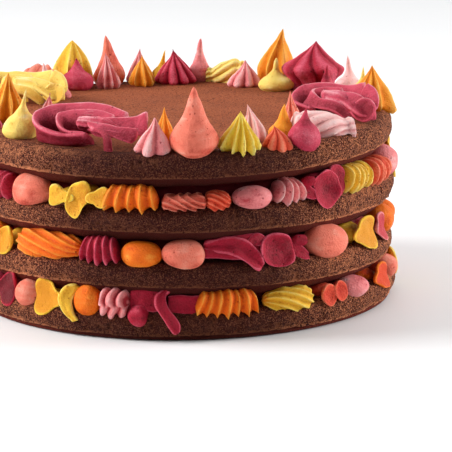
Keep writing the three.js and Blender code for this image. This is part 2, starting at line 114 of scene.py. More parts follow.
# Stars and kisses on top: kind, colour, bearing, distance, half width, height, ridges, lean and
# profile.
PEAKS = (
    ("star", "orange", -167.3, 79, 10.2, 22, 8, 1, "star"),
    ("kiss", "yellow", -142.6, 87, 8, 22, 0, 6, "drop"),
    ("star", "pink", -161.7, 61.4, 5, 13, 6, 2, "star"),
    ("star", "pink", -96.4, 89.5, 8.7, 14.5, 5, 1.3, "star"),
    ("star", "orange", -94.3, 76, 5.2, 16.5, 7, 0.8, "star"),
    ("kiss", "salmon", -85.3, 89.5, 10.8, 28.3, 0, 0.3, "kiss"),
    ("star", "yellow", -72.5, 89.5, 10.2, 16.3, 10, 0.5, "star"),
    ("star", "blush", -63.9, 76, 6.4, 16.2, 8, -3.2, "star"),
    ("star", "coral", -61.9, 92.5, 7.2, 9.2, 7, -1.5, "star"),
    ("kiss", "orange", -53.4, 77.5, 6.2, 14, 0, 1.6, "kiss"),
    ("star", "salmon", -43.8, 71, 5, 18, 7, -1, "star"),
    ("kiss", "rose", -54.5, 95, 7.1, 15.5, 0, 0.7, "bulb"),
    ("star", "orange", 2, 90.2, 12.7, 19.5, 8, 0.3, "star"),
    ("kiss", "lemon", 17.8, 92, 6, 15, 0, 1, "drop"),
    ("kiss", "blush", 27.5, 92.5, 7.4, 18, 0, 1, "drop"),
    ("kiss", "rose", 26.5, 79, 4.2, 15.5, 0, -1, "kiss"),
    ("star", "crimson", 44.8, 92.3, 15.4, 22.3, 6, -2.4, "skirt"),
    ("kiss", "lemon", 52.5, 79, 8.7, 14.4, 0, 1, "drop"),
    ("star", "orange", 58.7, 93.8, 9.5, 26.5, 6, -4, "tall"),
    ("star", "pink", 65.5, 80.6, 8.8, 12.5, 8, 0, "star"),
    ("kiss", "pink", 83, 94, 5.7, 20.4, 0, 0, "kiss"),
    ("star", "crimson", 90.2, 88, 10.4, 16.3, 8, 1, "star"),
    ("kiss", "yellow", 94.6, 94.5, 5, 15, 0, -2, "drop"),
    ("star", "orange", 101.7, 83.2, 7, 14.5, 8, 0, "star"),
    ("star", "pink", 101.2, 95, 6.5, 16, 8, 0, "star"),
    ("kiss", "salmon", 110.6, 94, 8, 23.4, 0, 1, "kiss"),
    ("star", "pink", 114.1, 81.6, 6.4, 17, 8, 1, "star"),
    ("kiss", "rose", 124.6, 85, 8, 15, 0, 0, "bulb"),
    ("star", "yellow", 123, 94.5, 11, 22, 8, -1.6, "dome"),
    ("kiss", "blush", 139.3, 82.7, 5, 15, 0, 0, "kiss"),
    ("kiss", "pink", 140.5, 69, 3.2, 8.5, 0, 0, "kiss"),
    ("star", "crimson", 153.5, 96, 7, 12, 8, 0, "star"),
    ("kiss", "salmon", 167, 92, 8, 17, 0, 0, "kiss"),
    ("star", "pink", 178, 90, 8.2, 13, 8, 0, "star"),
    ("kiss", "yellow", -171.5, 91, 6.6, 18, 0, 1, "kiss"),
    ("star", "rose", -159, 91, 6.6, 12, 7, 0, "star"),
)

# Toppings piped from a batch that is paler or brighter than their slot's colour, by number.
# Number 7's brighter batch is painted light: it makes up for the shade of the salmon kiss beside
# it.
PALER = {1: "amber", 2: "lemon", 5: "amber", 7: "sunny", 10: "amber", 13: "amber", 19: "amber",
         24: "amber", 37: "raspberry", 38: "raspberry"}

# Ruffles: kind, colour, bearing, distance, half length, height and turn.
RUFFLES = (
    ("ruffle", "crimson", -117, 83, 27, 15, 0),
    ("ruffle", "crimson", -17, 77, 27, 16, -104),
    ("ruffle", "lemon", 155.5, 76, 25, 14, 94),
)

# Shells: kind, colour, bearing, distance, half length, half depth, height and turn.
SHELLS = (
    ("shell", "blush", -42.4, 87, 15.2, 7.5, 10.5, -35),
    ("shell", "lemon", 74.5, 92, 10.5, 6.5, 10.5, 0),
    ("shell", "salmon", 137.6, 94, 12.5, 6.5, 12, 0),
)

# Pieces round the rim of each filling, from the bottom up: kind, colour, bearing, half width,
# how far the belly hangs (below 0, how far the top is pressed down), and a style: the number of
# ridges of a star or frill, the tail's side of a shell, the way a petal points.
RIMS = (
    (
        ("fan", "crimson", -141.5, 5.5, 0, 1), ("ball", "salmon", -133.7, 6.4, -0.6, 0),
        ("fan", "yellow", -125.9, 7.2, 0.2, -1), ("crescent", "yellow", -119.2, 4.4, 0, 1),
        ("ball", "orange", -115, 6.6, 0.3, 0), ("frill", "pink", -107.2, 7, 0.3, 3),
        ("bud", "crimson", -99.6, 7.4, 0.8, 0), ("drip", "crimson", -93.2, 4.8, 0, 1),
        ("strip", "crimson", -88.2, 5.6, -1, 1), ("star", "orange", -77.5, 15, -0.4, 7),
        ("shell", "yellow", -60, 13, -1, -1), ("pair", "coral", -45.8, 7.2, -1.6, 1),
        ("ball", "pink", -36, 9, -1.8, 0), ("fan", "orange", -22, 9.4, -1.6, 1),
        ("ball", "salmon", -9, 8, -1, 0),
    ),
    (
        ("fan", "yellow", -143, 5.5, -1, 1), ("shell", "orange", -126.9, 19.2, 0.2, 1),
        ("star", "crimson", -110.9, 9.4, -0.2, 5), ("ball", "orange", -99.8, 9.2, -1.1, 0),
        ("ball", "salmon", -88.6, 9.8, -0.8, 0), ("curl", "crimson", -75.6, 13, 0, 1),
        ("lobe", "crimson", -65, 9, 0, 1), ("tuft", "crimson", -57.2, 4.2, -1, 1),
        ("ball", "salmon", -45.8, 12.4, 0.5, 0), ("fan", "yellow", -31, 10.2, -0.6, 1),
        ("fan", "pink", -19.6, 6.8, -1.4, 1), ("ball", "orange", -8.5, 9, -0.8, 0),
    ),
    (
        ("star", "crimson", -143, 7.8, -0.5, 3), ("ball", "salmon", -131.8, 10, 0.9, 0),
        ("leaf", "yellow", -121, 6.4, -1.5, -1), ("mitten", "yellow", -115.4, 6, 1.6, 1),
        ("leaf", "yellow", -110.2, 5, -1.2, 1), ("star", "orange", -102, 12.8, 0.8, 5),
        ("flap", "salmon", -88.2, 10.2, -2.2, 1), ("shell", "coral", -79.2, 6, -2.2, 1),
        ("ball", "pink", -69.8, 8.8, -1.9, 0), ("star", "pink", -59.2, 7.4, -0.8, 4),
        ("tuft", "crimson", -54, 3.8, -1, 1), ("spoon", "crimson", -46.8, 10.4, 1.2, 1),
        ("star", "yellow", -34.6, 10.4, -0.6, 5), ("star", "coral", -21, 11, -1.2, 5),
        ("ball", "pink", -8, 8.4, -0.6, 0),
    ),
)

# Camera of the photograph: distance, elevation, the height it was measured to, the picture
# point where that height falls on the axis, and the focal length in pixels of its frame.
PICTURE = 452.0
SENSOR = 36.0
CAMERA_DISTANCE = 1.3
CAMERA_ELEVATION = 12.04
AIM_HEIGHT = 0.042
AIM_PIXEL = (178.1, 198.4)
FOCAL_PIXELS = 2797.6

# Soft round lights: place, height that they face on the axis, and diameter, in metres; watts.
LIGHTS = {
    "key": ((-1.25, -0.02, 0.8), 0.05, 0.8, 27.0),
    "right": ((1.35, 0.1, 0.5), 0.05, 0.7, 17.0),
    "front": ((-0.6, -1.2, 0.9), 0.06, 0.8, 1.0),
}
FLOOR_DROP = 0.0005            # the floor lies this far below the cake's underside
FLOOR_TONES = ((0.86, 0.86, 0.87), (0.9, 0.9, 0.9))
STUDIO_WHITE = (0.99, 0.995, 1.0, 1.0)
STUDIO_STRENGTH = (0.17, 1.0)  # on the camera's side and behind the cake


# ------------------------------------------------------------------ numbers and noise

def linear(rgb):
    """Screen colour (0 to 255) as the linear colour that shaders use."""
    value = np.array(rgb) / 255.0
    return tuple(np.where(value > 0.04045, ((value + 0.055) / 1.055) ** 2.4, value / 12.92))


def ease(value):
    """Smooth step from 0 to 1."""
    value = np.clip(value, 0.0, 1.0)
    return value * value * (3.0 - 2.0 * value)


def curve(knots, at):
    """Smooth curve through (place, value) knots: cubic pieces whose slope at each knot is the
    slope between its neighbours."""
    x, y = np.array(knots, float).T
    slope = np.gradient(y, x)
    i = np.clip(np.searchsorted(x, at) - 1, 0, len(x) - 2)
    step = x[i + 1] - x[i]
    t = np.clip((at - x[i]) / step, 0.0, 1.0)
    return ((2 * t**3 - 3 * t**2 + 1) * y[i] + (t**3 - 2 * t**2 + t) * step * slope[i]
            + (3 * t**2 - 2 * t**3) * y[i + 1] + (t**3 - t**2) * step * slope[i + 1])


LATTICE = 32                   # random numbers along each side of the noise's lattice


def lattice_noise(points, cell, seed):
    """Value noise from -1 to 1: random numbers on a cubic lattice, blended smoothly between the
    eight corners round each point."""
    table = np.random.default_rng(seed).uniform(-1.0, 1.0, (LATTICE,) * 3)
    scaled = points / cell
    base = np.floor(scaled).astype(int)
    blend = ease(scaled - base)
    total = np.zeros(points.shape[:-1])
    for corner in np.ndindex(2, 2, 2):
        weight = np.prod(np.where(corner, blend, 1.0 - blend), axis=-1)
        index = np.moveaxis((base + corner) % LATTICE, -1, 0)
        total += weight * table[tuple(index)]
    return total


def settle(points):
    """Bends a straight round stack into the settled cake: x drifts with height, the radius
    wobbles three times round, and the rim lifts as one wave and two waves round the cake."""
    x, y, z = np.moveaxis(points, -1, 0)
    field = {name: np.interp(z, SETTLE_HEIGHTS, values) for name, values in SETTLE.items()}
    bearing = np.arctan2(y, x)
    share = np.hypot(x, y) / RADIUS
    wobble = field["wobble"] * np.cos(3 * bearing + z / 9) * share / RADIUS
    saddle = np.cos(2 * (bearing - np.radians(field["saddle_at"])))
    lift = field["lift"] * np.cos(bearing) + field["saddle"] * saddle
    return np.stack(
        (x * (1 + wobble) + field["drift"], y * (1 + wobble), z + lift * share), axis=-1)


def unit(vectors):
    """Vectors at length 1."""
    return vectors / np.maximum(np.linalg.norm(vectors, axis=-1, keepdims=True), 1e-9)


# ------------------------------------------------------------------ surfaces

class Skin:
    """A closed surface: points, four- and three-sided faces, and a crest value per point that
    runs from 0 in the hollows to 1 on ridges and free edges. On buttercream it sets the painted
    shade and the painted highlight; on the sponge it tells the zones apart."""

    def __init__(self, points, quads, triangles, crest):
        self.points, self.quads, self.triangles, self.crest = points, quads, triangles, crest

    @classmethod
    def lofted(cls, grid, crest, flat_ends=False):
        """Rows of points, each row a loop, joined row to row. The first and last row are closed
        by a fan to their own middle, or, for flat sheets, by a ladder from one side of the loop
        to the other."""
        rows, columns = grid.shape[:2]
        index = np.arange(rows * columns).reshape(rows, columns)
        along = np.roll(index, -1, axis=1)
        quads = np.stack((index[:-1], along[:-1], along[1:], index[1:]), axis=-1).reshape(-1, 4)
        points, values = grid.reshape(-1, 3), crest.reshape(-1)
        if flat_ends:
            half = columns // 2
            k = np.arange(1, half - 1)
            rungs = np.stack((k, k + 1, columns - k - 1, columns - k), axis=-1)
            tips = np.array(((0, 1, columns - 1), (half - 1, half, half + 1)))
            quads = np.concatenate((quads, index[0][rungs[:, ::-1]], index[-1][rungs]))
            triangles = np.concatenate((index[0][tips[:, ::-1]], index[-1][tips]))
        else:
            first, last = rows * columns, rows * columns + 1
            triangles = np.concatenate((
                np.stack((np.full(columns, first), along[0], index[0]), axis=-1),
                np.stack((index[-1], along[-1], np.full(columns, last)), axis=-1)))
            points = np.concatenate((points, grid[:1].mean(axis=1), grid[-1:].mean(axis=1)))
            values = np.concatenate((values, crest[:1].mean(axis=1), crest[-1:].mean(axis=1)))
        return cls(points, quads, triangles, values).facing_out()

    def facing_out(self):
        """Turns every face over where the surface is inside out."""
        if self.volume() < 0:
            self.quads, self.triangles = self.quads[:, ::-1], self.triangles[:, ::-1]
        return self

    def volume(self):
        """Signed volume: positive when the faces look outwards."""
        total = 0.0
        for faces in (self.quads[:, :3], self.quads[:, (0, 2, 3)], self.triangles):
            a, b, c = (self.points[faces[:, k]] for k in (0, 1, 2))
            total += np.einsum("ij,ij->", a, np.cross(b, c)) / 6
        return total

    @classmethod
    def joined(cls, skins):
        """One surface of several parts."""
        starts = np.cumsum([0] + [len(skin.points) for skin in skins[:-1]])
        return cls(
            np.concatenate([skin.points for skin in skins]),
            np.concatenate([skin.quads + start for skin, start in zip(skins, starts)]),
            np.concatenate([skin.triangles + start for skin, start in zip(skins, starts)]),
            np.concatenate([skin.crest for skin in skins]))

    def roughened(self, cell, amount, seed):
        """Moves each point along its outward direction by lattice noise."""
        normals = np.zeros_like(self.points)
        for faces in (self.quads, self.triangles):
            a, b, c = (self.points[faces[:, k]] for k in (0, 1, 2))
            across = np.cross(b - a, c - a)
            for k in range(faces.shape[1]):
                np.add.at(normals, faces[:, k], across)
        shift = amount * lattice_noise(self.points + 300.0, cell, seed)
        self.points = self.points + unit(normals) * shift[:, None]
        return self

    def to_object(self, name, material, slot, nodes):
        """Makes the mesh object in metres, smooth-shaded, riding on the cake's one body."""
        mesh = bpy.data.meshes.new(name)
        mesh.vertices.add(len(self.points))
        mesh.vertices.foreach_set("co", (self.points * MM).astype(np.float32).ravel())
        loops = np.concatenate((self.quads.ravel(), self.triangles.ravel()))
        starts = np.concatenate((
            np.arange(len(self.quads)) * 4,
            len(self.quads) * 4 + np.arange(len(self.triangles)) * 3))
        mesh.loops.add(len(loops))
        mesh.loops.foreach_set("vertex_index", loops.astype(np.int32))
        mesh.polygons.add(len(starts))
        mesh.polygons.foreach_set("loop_start", starts.astype(np.int32))
        mesh.polygons.foreach_set("use_smooth", np.ones(len(starts), bool))
        attribute = mesh.attributes.new("crest", "FLOAT", "POINT")
        attribute.data.foreach_set("value", self.crest.astype(np.float32))
        mesh.update(calc_edges=True)
        mesh.materials.append(material)
        piece = bpy.data.objects.new(name, mesh)
        bpy.context.scene.collection.objects.link(piece)
        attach(piece, "root")
        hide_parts(*nodes)
        return piece


# ------------------------------------------------------------------ materials

def new_group(name, inputs, outputs):
    """Node group with the given (socket type, name, default) inputs and (type, name) outputs."""
    group = bpy.data.node_groups.new(name, "ShaderNodeTree")
    for kind, label, default in inputs:
        socket = group.interface.new_socket(label, in_out="INPUT", socket_type=kind)
        socket.default_value = default
    for kind, label in outputs:
        group.interface.new_socket(label, in_out="OUTPUT", socket_type=kind)
    return group, group.nodes.new("NodeGroupInput"), group.nodes.new("NodeGroupOutput")


def object_noise(tree, scale, detail=2.0, roughness=0.5):
    """Noise texture on the piece's own coordinates."""
    place = tree.nodes.new("ShaderNodeTexCoord")
    noise = tree.nodes.new("ShaderNodeTexNoise")
    tree.links.new(place.outputs["Object"], noise.inputs["Vector"])
    noise.inputs["Scale"].default_value = scale
    noise.inputs["Detail"].default_value = detail
    noise.inputs["Roughness"].default_value = roughness
    return noise.outputs["Fac"]


def object_cells(tree, scale):
    """Distance to the nearest cell point, on the piece's own coordinates."""
    place = tree.nodes.new("ShaderNodeTexCoord")
    cells = tree.nodes.new("ShaderNodeTexVoronoi")
    tree.links.new(place.outputs["Object"], cells.inputs["Vector"])
    cells.inputs["Scale"].default_value = scale
    return cells.outputs["Distance"]


def mapped(tree, value, low, high, to_low=0.0, to_high=1.0):
    """Smooth step of a value, from one range to another."""
    node = tree.nodes.new("ShaderNodeMapRange")
    node.interpolation_type = "SMOOTHSTEP"
    for label, number in (("From Min", low), ("From Max", high),
                          ("To Min", to_low), ("To Max", to_high)):
        node.inputs[label].default_value = number
    tree.links.new(value, node.inputs["Value"])
    return node.outputs["Result"]


def mixed(tree, factor, first, second):
    """Colour mix; first and second are sockets or colours."""
    node = tree.nodes.new("ShaderNodeMix")
    node.data_type = "RGBA"
    tree.links.new(factor, node.inputs["Factor"])
    for label, colour in (("A", first), ("B", second)):
        socket = next(s for s in node.inputs if s.name == label and s.type == "RGBA")
        if isinstance(colour, bpy.types.NodeSocket):
            tree.links.new(colour, socket)
        else:
            socket.default_value = (*colour, 1.0)
    return next(s for s in node.outputs if s.type == "RGBA")


def combined(tree, operation, first, second):
    """Math node; first and second are sockets or numbers."""
    node = tree.nodes.new("ShaderNodeMath")
    node.operation = operation
    for socket, value in zip(node.inputs, (first, second)):
        if isinstance(value, bpy.types.NodeSocket):
            tree.links.new(value, socket)
        else:
            socket.default_value = value
    return node.outputs["Value"]


def times(tree, first, second):
    """Product of two values."""
    return combined(tree, "MULTIPLY", first, second)


def centred(tree, value, amount):
    """A noise's value about zero instead of a half, times amount."""
    return times(tree, combined(tree, "SUBTRACT", value, 0.5), amount)


def crest_value(tree):
    """The crest value that a surface carries at each point: painted shade and painted highlight
    on buttercream, the zone on the sponge.
    """
    node = tree.nodes.new("ShaderNodeAttribute")
    node.attribute_name = "crest"
    return node.outputs["Fac"]


def bubbles(tree):
    """1 in burst air bubbles, scattered unevenly, 0 elsewhere."""
    mask = mapped(tree, object_noise(tree, 90.0), 0.44, 0.54)
    small = mapped(tree, object_cells(tree, 330.0), 0.15, 0.07)
    large = mapped(tree, object_cells(tree, 150.0), 0.085, 0.045)
    return times(tree, combined(tree, "MAXIMUM", small, large), mask)


def tint_group():
    """Colour of piped buttercream: painted shade in the hollows and in burst bubbles, a painted
    highlight on ridges and thin edges, with a slow mottle where two batches met in the bag."""
    group, given, result = new_group(
        "piped_tint",
        [("NodeSocketColor", tone.title(), (1, 1, 1, 1)) for tone in TONES],
        [("NodeSocketColor", "Color")])
    mottle = centred(group, object_noise(group, 170.0, 4.0, 0.6), 0.5)
    sandy = centred(group, object_noise(group, 1300.0, 2.0, 0.7), 0.5)
    level = combined(group, "ADD", combined(group, "ADD", crest_value(group), mottle), sandy)
    low = mixed(group, mapped(group, level, 0.0, 0.5), given.outputs["Deep"],
                given.outputs["Body"])
    full = mixed(group, mapped(group, level, 0.5, 1.15), low, given.outputs["Crest"])
    # Painted shade in burst air bubbles.
    painted_hole_shade = times(group, bubbles(group), 0.8)
    group.links.new(mixed(group, painted_hole_shade, full, given.outputs["Deep"]), result.inputs["Color"])
    return group


def pits_group():
    """Height of whipped buttercream's surface: a fine grain, the soft streaks that the tip of
    the bag leaves, and burst air bubbles."""
    group, given, result = new_group(
        "air_pits", [("NodeSocketFloat", "Amount", 1.0)], [("NodeSocketFloat", "Height")])
    pits = times(group, bubbles(group), -2.2)
    grain = times(group, object_noise(group, 1300.0, 3.0, 0.65), 1.2)
    streaks = times(group, object_noise(group, 260.0, 3.0), 1.1)
    relief = combined(group, "ADD", combined(group, "ADD", pits, grain), streaks)
    group.links.new(times(group, relief, given.outputs["Amount"]), result.inputs["Height"])
    return group


def principled(name):
    """New material, its node tree and its shader."""
    material = bpy.data.materials.new(name)
    material.use_nodes = True
    shader = material.node_tree.nodes["Principled BSDF"]
    return material, material.node_tree, shader


def add_bump(tree, shader, height, distance, strength):
    """Leads a height (times distance, in metres) to the shader's normal."""
    bump = tree.nodes.new("ShaderNodeBump")
    bump.inputs["Distance"].default_value = distance
    bump.inputs["Strength"].default_value = strength
    tree.links.new(height, bump.inputs["Height"])
    tree.links.new(bump.outputs["Normal"], shader.inputs["Normal"])


def icing_material(icing, settings, tint, pits):
    """Satin buttercream, a little translucent, from the two node groups tint and pits."""
    material, tree, shader = principled(f"{icing}_buttercream")
    colour = tree.nodes.new("ShaderNodeGroup")
    colour.node_tree = tint
    for tone in TONES:
        value = getattr(settings, f"{icing}_{tone}")
        colour.inputs[tone.title()].default_value = (*value, 1.0)
    tree.links.new(colour.outputs["Color"], shader.inputs["Base Color"])
    texture = tree.nodes.new("ShaderNodeGroup")
    texture.node_tree = pits
    texture.inputs["Amount"].default_value = settings.pits
    add_bump(tree, shader, texture.outputs["Height"], 0.0007, 0.9)
    tree.links.new(mapped(tree, object_noise(tree, 300.0), 0.2, 0.8, 0.52, 0.68),
                   shader.inputs["Roughness"])
    shader.inputs["Subsurface Weight"].default_value = 0.18
    shader.inputs["Subsurface Radius"].default_value = (1.0, 0.45, 0.35)
    shader.inputs["Subsurface Scale"].default_value = 0.0022
    shader.inputs["Specular IOR Level"].default_value = 0.24
    return material


def sponge_material(settings):
    """Chocolate crumb: a pale web round dark pores on the side, a paler lip where the side ends,
    a smoother baked face on top, and a dense red-brown foot whose red is partly painted bounce
    light. The crest value tells them apart: 0 foot, 0.25 lip, 0.5 side, 1 face. The front is
    darker with painted shade."""
    material, tree, shader = principled("chocolate_sponge")
    zone = crest_value(tree)
    on_side = mapped(tree, zone, 0.03, 0.12)
    on_face = mapped(tree, zone, 0.6, 0.95)
    lip = times(tree, mapped(tree, zone, 0.06, 0.16), mapped(tree, zone, 0.5, 0.26))
    colour = mixed(tree, on_side, settings.foot, settings.side)
    colour = mixed(tree, on_face, colour, settings.face)

    web = object_noise(tree, 1900.0, 3.0, 0.65)
    crumbs = times(tree, mapped(tree, web, 0.48, 0.61), mapped(tree, on_face, 0.0, 1.0, 0.88, 0.2))
    crumbs = times(tree, crumbs, mapped(tree, on_side, 0.0, 1.0, 0.1, 1.0))
    pale = combined(tree, "MAXIMUM", crumbs, times(tree, lip, 0.85))
    colour = mixed(tree, pale, colour, settings.web)

    pores = times(tree, mapped(tree, object_noise(tree, 1050.0, 2.0, 0.6), 0.47, 0.36),
                  mapped(tree, on_face, 0.0, 1.0, 0.95, 0.7))
    pores = times(tree, pores, mapped(tree, on_side, 0.0, 1.0, 0.2, 1.0))
    colour = mixed(tree, pores, colour, settings.pores)
    patches = times(tree, mapped(tree, object_noise(tree, 38.0, 3.0), 0.3, 0.7), 0.2)
    colour = mixed(tree, patches, colour, settings.patches)

    place = tree.nodes.new("ShaderNodeTexCoord")
    split = tree.nodes.new("ShaderNodeSeparateXYZ")
    tree.links.new(place.outputs["Object"], split.inputs["Vector"])
    # Painted shade: the sponge darkens towards the camera's side, strongly on its side and only a
    # little on its face.
    browned = times(tree, mapped(tree, split.outputs["Y"], -0.072, -0.094),
                    mapped(tree, on_face, 0.0, 1.0, 0.76, 0.1))
    colour = mixed(tree, browned, colour, settings.browned)

    tree.links.new(colour, shader.inputs["Base Color"])
    relief = combined(tree, "SUBTRACT", web, times(tree, pores, 0.5))
    add_bump(tree, shader, relief, settings.relief, 1.0)
    shader.inputs["Roughness"].default_value = 0.9
    shader.inputs["Specular IOR Level"].default_value = 0.2
    return material


# ------------------------------------------------------------------ sponge layers

COLUMNS = 1240                 # points round a layer
TOP_ROWS = (14, 20)            # rows of points up the side and across the face: top layer,
COVERED_ROWS = (24, 6)         # and the layers whose faces are covered
UNDERSIDE = (20, 80)           # radii of the rows of points on a layer's underside
LIP_STEP = 0.6                 # how far the crumb band stands out past the tucked foot,
LIP_RISE = 0.25                # and how far above it the band starts
INSET = 0.3                    # how far the mean surface stays inside the solid's
SWELL = 0.38                   # depths of slow swells, ragged edges, crumbs, grain and pores
RAGGED = 0.22
CRUMB = 0.12
GRAIN = 0.1
PORE = 0.34


def layer_outline(base, thick, foot, foot_radius, side_rows, face_rows):
    """Half outline of a layer as rows of (radius, height): underside, tucked foot, crumb band up
    to the widest radius, quarter-ellipse shoulder, and the face inwards to the axis."""
    top = base + thick
    band_top = top - SHOULDER
    rise = np.linspace(0, 1, 8)
    under = np.stack((np.array(UNDERSIDE), np.full(len(UNDERSIDE), base)), axis=-1)
    tuck = np.stack((foot_radius + (BAND_RADIUS - foot_radius) * rise ** 0.8,
                     base + foot * rise), axis=-1)
    side = np.linspace(0, 1, side_rows)
    low_radius, low = BAND_RADIUS + LIP_STEP, base + foot + LIP_RISE
    band = np.stack((low_radius + (RADIUS - low_radius) * np.sin(side * np.pi / 2),
                     low + (band_top - low) * side), axis=-1)
    turn = np.linspace(0, np.pi / 2, 15)[1:]
    shoulder = np.stack((FACE_RADIUS + (RADIUS - FACE_RADIUS) * np.cos(turn),
                         band_top + SHOULDER * np.sin(turn)), axis=-1)
    inwards = np.linspace(0, 1, face_rows + 1)[1:]
    face = np.stack((FACE_RADIUS * (1 - 0.98 * inwards), np.full(face_rows, top)), axis=-1)
    return np.concatenate((under, tuck, band, shoulder, face))


def layer_skin(layer, side_rows, face_rows, seed):
    """Layer outline carried round the axis, roughened and settled: slow swells, ragged crumbs
    and pores on the side, and only faint dimples on the face and the foot."""
    base, thick, foot, _ = layer
    outline = layer_outline(*layer, side_rows, face_rows)
    bearing = np.linspace(0, 2 * np.pi, COLUMNS, endpoint=False)
    radius, height = outline[:, :1], outline[:, 1:]
    grid = np.stack((radius * np.cos(bearing), radius * np.sin(bearing),
                     height + 0 * bearing), axis=-1)
    on_side = ease((height - base - foot + 0.1) / 0.4)
    on_face = ease((FACE_RADIUS + 4 - radius) / 6) * (height > base + thick / 2)
    outward = ease((radius - FACE_RADIUS + 3) / 4)
    normal = unit(np.stack((np.cos(bearing) * outward, np.sin(bearing) * outward,
                            0 * bearing + (height - base - thick / 2) / thick * 1.4), axis=-1))
    slow = lattice_noise(grid, 12.0, seed)
    ragged = lattice_noise(grid, 3.6, seed + 1)
    crumb = lattice_noise(grid, 1.7, seed + 2)
    grain = lattice_noise(grid, 1.0, seed + 3)
    pores = ease((-0.25 - crumb) / 0.35)
    rough = on_side * (1 - 0.85 * on_face)
    depth = (SWELL * slow + RAGGED * ragged * (0.35 + rough) - INSET
             + rough * (CRUMB * crumb + GRAIN * grain - PORE * pores) + 0.03 * grain)
    edge = on_side * ease((base + foot + 1.4 - height) / 1.4)
    lip = ease((height - base - foot) / 2.0 + 0.25 * ragged)
    depth = depth + edge * (0.25 + 0.35 * lattice_noise(grid, 2.4, seed + 4))
    if base == 0:                  # the underside stays flat
        depth = depth * ease((height - 0.4) / 0.8)
    grid = settle(grid + normal * depth[..., None])
    baked = (0.5 - 0.12 * ease((radius - 62) / 30)) * ease((98 - radius) / 10)
    zone = (0.25 + 0.25 * lip) * on_side + baked * on_face
    return Skin.lofted(grid, zone + (0.04 + 0.08 * lip) * (slow + crumb) * on_side)


# ------------------------------------------------------------------ piped pieces

# Radius by height of each peak, both as shares of its largest: (height, radius).
PROFILES = {
    "star": ((0, 0.86), (0.08, 1.0), (0.28, 0.9), (0.52, 0.6), (0.76, 0.26), (0.92, 0.08),
             (1, 0.01)),
    "skirt": ((0, 0.66), (0.1, 0.72), (0.25, 0.84), (0.38, 0.98), (0.47, 0.98), (0.6, 0.68),
              (0.78, 0.3), (0.92, 0.09), (1, 0.01)),
    "tall": ((0, 0.8), (0.1, 0.95), (0.28, 1.0), (0.44, 0.88), (0.59, 0.66), (0.74, 0.38),
             (0.88, 0.13), (1, 0.01)),
    "dome": ((0, 0.86), (0.1, 1.0), (0.3, 0.97), (0.52, 0.82), (0.72, 0.56), (0.88, 0.28),
             (1, 0.03)),
    "kiss": ((0, 0.76), (0.08, 0.93), (0.18, 1.0), (0.31, 0.89), (0.45, 0.62), (0.58, 0.44),
             (0.71, 0.31), (0.84, 0.19), (0.95, 0.08), (1, 0.01)),
    "bulb": ((0, 0.74), (0.1, 0.93), (0.24, 1.0), (0.38, 0.92), (0.5, 0.74), (0.62, 0.48),
             (0.74, 0.27), (0.87, 0.12), (1, 0.01)),
    "drop": ((0, 0.84), (0.1, 0.99), (0.22, 1.0), (0.36, 0.8), (0.48, 0.45), (0.62, 0.22),
             (0.78, 0.13), (0.92, 0.07), (1, 0.02)),
}
ROUND_LOBED = (4, 9, 17, 20, 22, 25)   # stars with plump lobes and narrow valleys
PEAK_BEDDED = 0.6              # how far a star or kiss sinks into the layer under it
BEDDED = 0.5                   # and a ruffle or shell
RIDGE_POWER = 0.36             # the smaller, the thinner the thin ridges
RIDGE_BLUNT = 0.012            # how rounded they are
PEAK_ROWS = 48
PEAK_COLUMNS = 72              # at least this many, and
RIDGE_COLUMNS = 14             # this many for each ridge


def ridge_wave(phase, round_lobes):
    """1 on each ridge (whole phases), 0 in the valleys: plump lobes with narrow valleys, the
    size of a cosine to a low power; or thin ridges with wide hollow valleys, 1 less a low power
    of a squared sine that is blunted a little at the ridge."""
    if round_lobes:
        return np.abs(np.cos(np.pi * phase)) ** 0.7
    low, high = RIDGE_BLUNT ** RIDGE_POWER, (1 + RIDGE_BLUNT) ** RIDGE_POWER
    valley = (np.sin(np.pi * phase) ** 2 + RIDGE_BLUNT) ** RIDGE_POWER
    return 1 - (valley - low) / (high - low)


